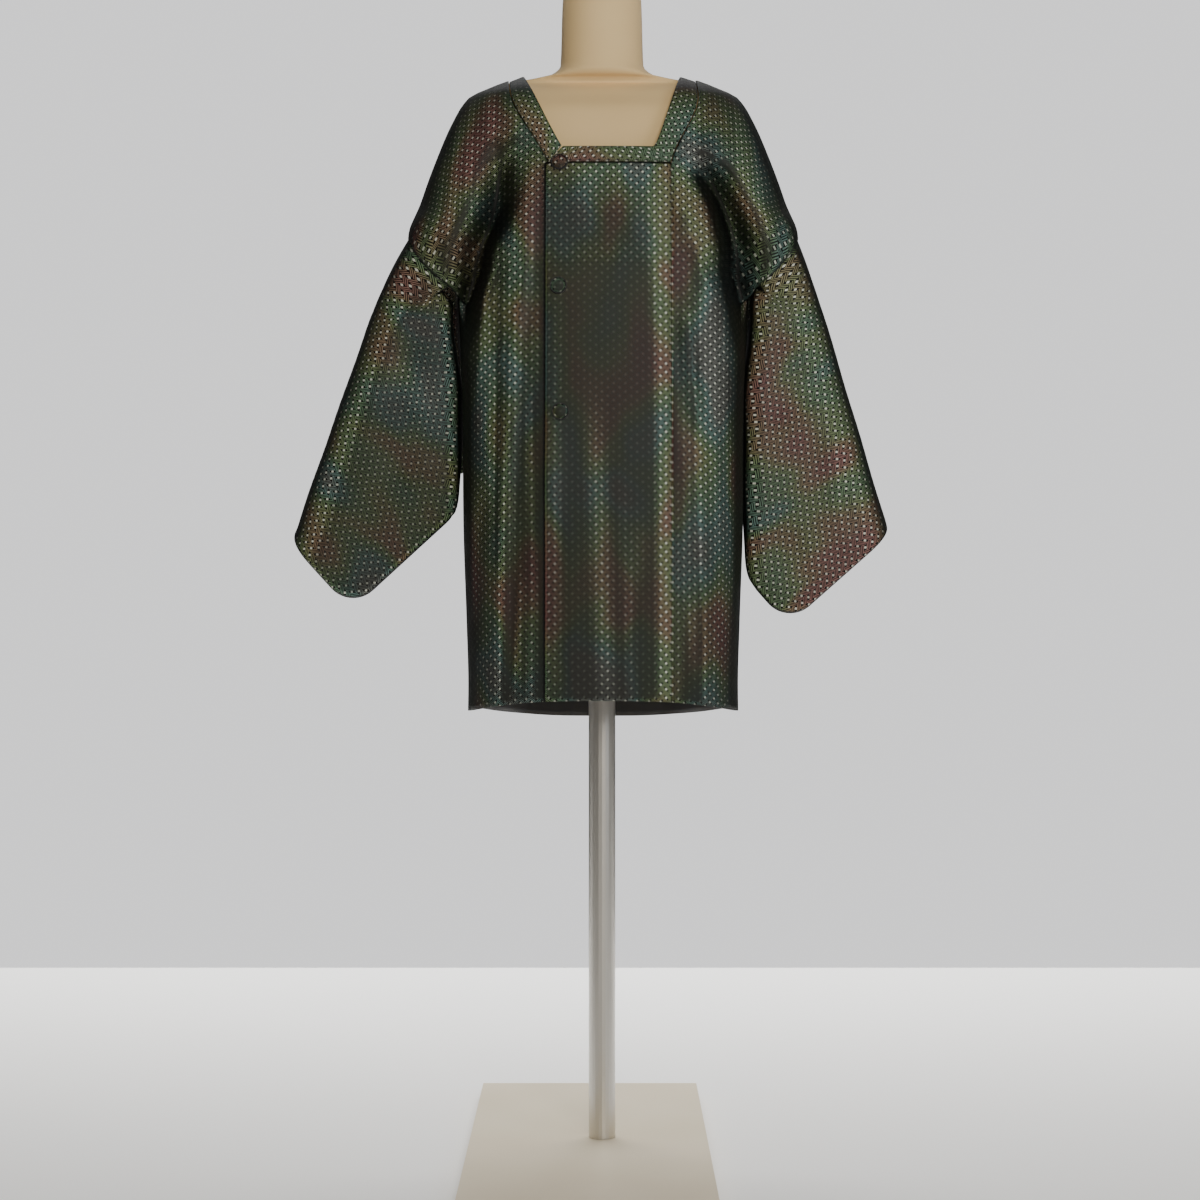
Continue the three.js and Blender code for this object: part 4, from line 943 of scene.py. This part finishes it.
def coveredButton(name):
    # cloth drawn over a low dome and tucked into a ring: each profile point is a
    # share of the radius and of the height, from the middle of the face to the back
    x, z = buttons["places"][name]
    radius, high = buttons["radius"], buttons["height"]
    seat = frontPoint(x, z, 0)
    acrossX = frontPoint(x + 6, z, 0) - frontPoint(x - 6, z, 0)
    acrossZ = frontPoint(x, z + 6, 0) - frontPoint(x, z - 6, 0)
    out = unit(np.cross(acrossX, acrossZ))
    right = unit(acrossX)
    up = np.cross(out, right)
    profile = np.array(buttons["profile"])
    stops = np.linspace(0, 1, len(profile))
    t = np.linspace(0, 1, buttons["rings"])
    reach = radius * np.interp(t, stops, profile[:, 0])
    level = high * np.interp(t, stops, profile[:, 1])
    a = np.linspace(0, 2 * math.pi, buttons["around"], endpoint=False)
    centre = seat + out * (wall / 2 + seamGap)
    points = (centre + np.multiply.outer(np.outer(reach, np.cos(a)), right)
              + np.multiply.outer(np.outer(reach, np.sin(a)), up) + level[:, None, None] * out)
    aAll = np.append(a, 2 * math.pi)
    wrapRun = runLength(np.stack([reach, level], -1), 0)
    cut = np.stack([np.outer(wrapRun, np.cos(aAll)) + x, np.outer(wrapRun, np.sin(aAll)) + z], -1)
    piece = clothMesh("covered_button_" + name, points, cut, buttonSilk, rimShadeSilk, thick=0, around=True)
    middle = (t[1:] + t[:-1]) / 2
    # the button's outer faces take the near-black silk: painted shade round its rim
    inShade = middle > buttons["rim"]
    piece.data.polygons.foreach_set("material_index", np.repeat(inShade, buttons["around"]).astype(np.int32))
    settle(piece, "button_" + name, slot="button_silk")
    return piece


for name in buttons["places"]:
    coveredButton(name)
print("buttons made")

# ------------------------------------------------------------------ dress form
form = {
    "height": [600, 690, 820, 940, 1060, 1150, 1210, 1240],
    "halfWidth": [122, 134, 124, 126, 127, 129, 142, 152],
    "front": [84, 96, 94, 96, 92, 80, 68, 58],
    "back": [92, 104, 98, 98, 98, 94, 82, 70],
    "square": [2.2, 2.2, 2.2, 2.3, 2.3, 2.3, 2.4, 2.4],
    "side": [0, 0, 0, 0, 0, 0, 0, 0],
}
# Rows of the neck above the coat: height, half width, front, back, side, square.
formNeck = [(1289, 66, 47, 47, 6, 2), (1303, 50, 47, 47, 6, 2), (1384, 47, 47, 47, 6, 2),
            (1392, 40, 40, 40, 6, 2)]


def formTorso():
    # rings through the same sizes as the solid, with a soft turn at both ends
    table = {key: list(value) for key, value in form.items()}
    for height in (1262, 1273, 1284):
        ring = ringAt(np.array(float(height)), 0)
        rows = {"height": height - 1.2, "halfWidth": ring["halfWidth"] - 3.0 - lapStep,
                "front": ring["front"] * 0.82 - lapStep, "back": ring["back"] * 0.82 - lapStep,
                "side": ring["side"], "square": ring["square"]}
        for key, value in rows.items():
            table[key].append(float(value))
    for row in formNeck:
        for key, value in zip(("height", "halfWidth", "front", "back", "side", "square"), row):
            table[key].append(value)
    heights = fineSteps(table["height"], 6)
    a = np.linspace(0, 2 * math.pi, 96, endpoint=False)
    ring = {key: readTable(table, key, heights)[:, None] for key in table if key != "height"}
    power = 2 / ring["square"]
    cosine, sine = np.cos(a)[None, :], np.sin(a)[None, :]
    depth = np.where(sine < 0, ring["front"], ring["back"])
    x = ring["halfWidth"] * np.sign(cosine) * np.abs(cosine) ** power
    y = ring["side"] + depth * np.sign(sine) * np.abs(sine) ** power
    points = np.stack([x, y, np.broadcast_to(heights[:, None], x.shape)], -1)
    middle = np.stack([np.zeros(1), np.zeros(1), heights[:1]], -1)[:, None]
    topMiddle = np.array([[[0, 6, heights[-1]]]])
    steps = np.array([0.05, 0.5, 0.94])[:, None, None]
    lowCap = middle + (points[:1] - middle) * steps
    topCap = (topMiddle + (points[-1:] - topMiddle) * steps)[::-1]
    points = np.concatenate([lowCap, points, topCap])
    cut = np.zeros(points.shape[:1] + (points.shape[1] + 1, 2))
    piece = clothMesh("form_cover", points, cut, formJersey, formJersey, thick=0, around=True)
    settle(piece, "form_torso", slot="form_cover")
    return piece


formTorso()


def satinSteel():
    # turned steel: fine rings round the pole spread the light
    material, tree = newMaterial("satin steel")
    place = put(tree, "ShaderNodeTexCoord").outputs["Object"]
    rings = put(tree, "ShaderNodeMapping", {0: place, "Scale": (4, 4, 900)}).outputs[0]
    grain = put(tree, "ShaderNodeTexNoise", {"Vector": rings, "Scale": 1.0, "Detail": 2}).outputs[0]
    rough = put(tree, "ShaderNodeMapRange", {0: grain, 3: 0.26, 4: 0.42}).outputs[0]
    shader = put(tree, "ShaderNodeBsdfPrincipled", {
        "Base Color": linear("#c9c5bd"), "Metallic": 1.0, "Roughness": rough})
    put(tree, "ShaderNodeOutputMaterial", {0: shader.outputs[0]})
    return material


def creamLacquer():
    # lacquered board: an even cream with faint clouding and a soft gloss
    material, tree = newMaterial("cream lacquered board")
    place = put(tree, "ShaderNodeTexCoord").outputs["Object"]
    cloud = put(tree, "ShaderNodeTexNoise", {"Vector": place, "Scale": 7.0, "Detail": 5}).outputs[0]
    colour = put(tree, "ShaderNodeMix", {0: cloud, 6: linear("#d6c8ac"), 7: linear("#e0d4bb")},
                 data_type="RGBA").outputs[2]
    rough = put(tree, "ShaderNodeMapRange", {0: cloud, 3: 0.38, 4: 0.55}).outputs[0]
    shader = put(tree, "ShaderNodeBsdfPrincipled", {"Base Color": colour, "Roughness": rough})
    put(tree, "ShaderNodeOutputMaterial", {0: shader.outputs[0]})
    return material


for node, material, width in (("form_pole", satinSteel(), 0.0008), ("form_board", creamLacquer(), 0.002)):
    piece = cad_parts[node]
    piece.data.materials.clear()
    piece.data.materials.append(material)
    edge = piece.modifiers.new("edge", "BEVEL")
    edge.width = width
    edge.segments = 3
    edge.limit_method = "ANGLE"
    edge.angle_limit = math.radians(40)
print("form made")

# ------------------------------------------------------------------ floor, light, camera
studio = {
    "floor": 14.0, "floorEnd": 1.35, "wall": "#e6e6e7", "seen": 1.42, "spill": 0.11,
    "key": 67, "fill": 23, "rim": 1, "floorWash": 124,
    "lens": 67.5, "sensor": 36, "cameraAt": (-0.0024, -2.7, 0.662),
}


def studioFloor():
    size, far = studio["floor"], studio["floorEnd"]
    mesh = bpy.data.meshes.new("studio floor")
    corners = [(-size, -size, 0), (size, -size, 0), (size, far, 0), (-size, far, 0)]
    mesh.from_pydata(corners, [], [(0, 1, 2, 3)])
    floor = bpy.data.objects.new("studio_floor", mesh)
    bpy.context.scene.collection.objects.link(floor)
    material, tree = newMaterial("pale studio floor")
    shader = put(tree, "ShaderNodeBsdfPrincipled", {"Base Color": linear("#f4f3f0"), "Roughness": 0.85})
    put(tree, "ShaderNodeOutputMaterial", {0: shader.outputs[0]})
    mesh.materials.append(material)


def softLight(name, place, target, size, power, colour, spread=180):
    light = bpy.data.lights.new(name, "AREA")
    light.shape = "RECTANGLE"
    light.size, light.size_y = size
    light.energy = power
    light.spread = math.radians(spread)
    light.color = linear(colour)[:3]
    lamp = bpy.data.objects.new(name, light)
    lamp.location = place
    aim = Vector(target) - Vector(place)
    lamp.rotation_euler = aim.to_track_quat("-Z", "Y").to_euler()
    bpy.context.scene.collection.objects.link(lamp)


studioFloor()
softLight("key softbox", (0.45, -3.1, 1.75), (0, 0, 0.9), (1.3, 1.1), studio["key"], "#fffaf2")
softLight("fill softbox", (2.4, -2.2, 1.5), (0, 0, 0.9), (1.4, 1.4), studio["fill"], "#eef4ff")
softLight("back softbox", (0.4, 2.6, 2.8), (0, 0, 1.0), (2.4, 1.2), studio["rim"], "#ffffff")
softLight("floor softbox", (0, 1.9, 2.6), (0, 1.75, 0), (5, 1.6), studio["floorWash"], "#ffffff", 100)
world = bpy.data.worlds.new("studio")
world.use_nodes = True
wall = world.node_tree.nodes["Background"]
wall.inputs[0].default_value = linear(studio["wall"])
seen = put(world.node_tree, "ShaderNodeLightPath").outputs["Is Camera Ray"]
world.node_tree.links.new(put(world.node_tree, "ShaderNodeMapRange", {
    0: seen, 3: studio["spill"], 4: studio["seen"]}).outputs[0], wall.inputs[1])
bpy.context.scene.world = world

camera = bpy.data.objects.new("camera", bpy.data.cameras.new("camera"))
camera.data.lens = studio["lens"]
camera.data.sensor_width = studio["sensor"]
camera.location = studio["cameraAt"]
camera.rotation_euler = (math.pi / 2, 0, 0)
bpy.context.scene.collection.objects.link(camera)
bpy.context.scene.camera = camera

print("ready")
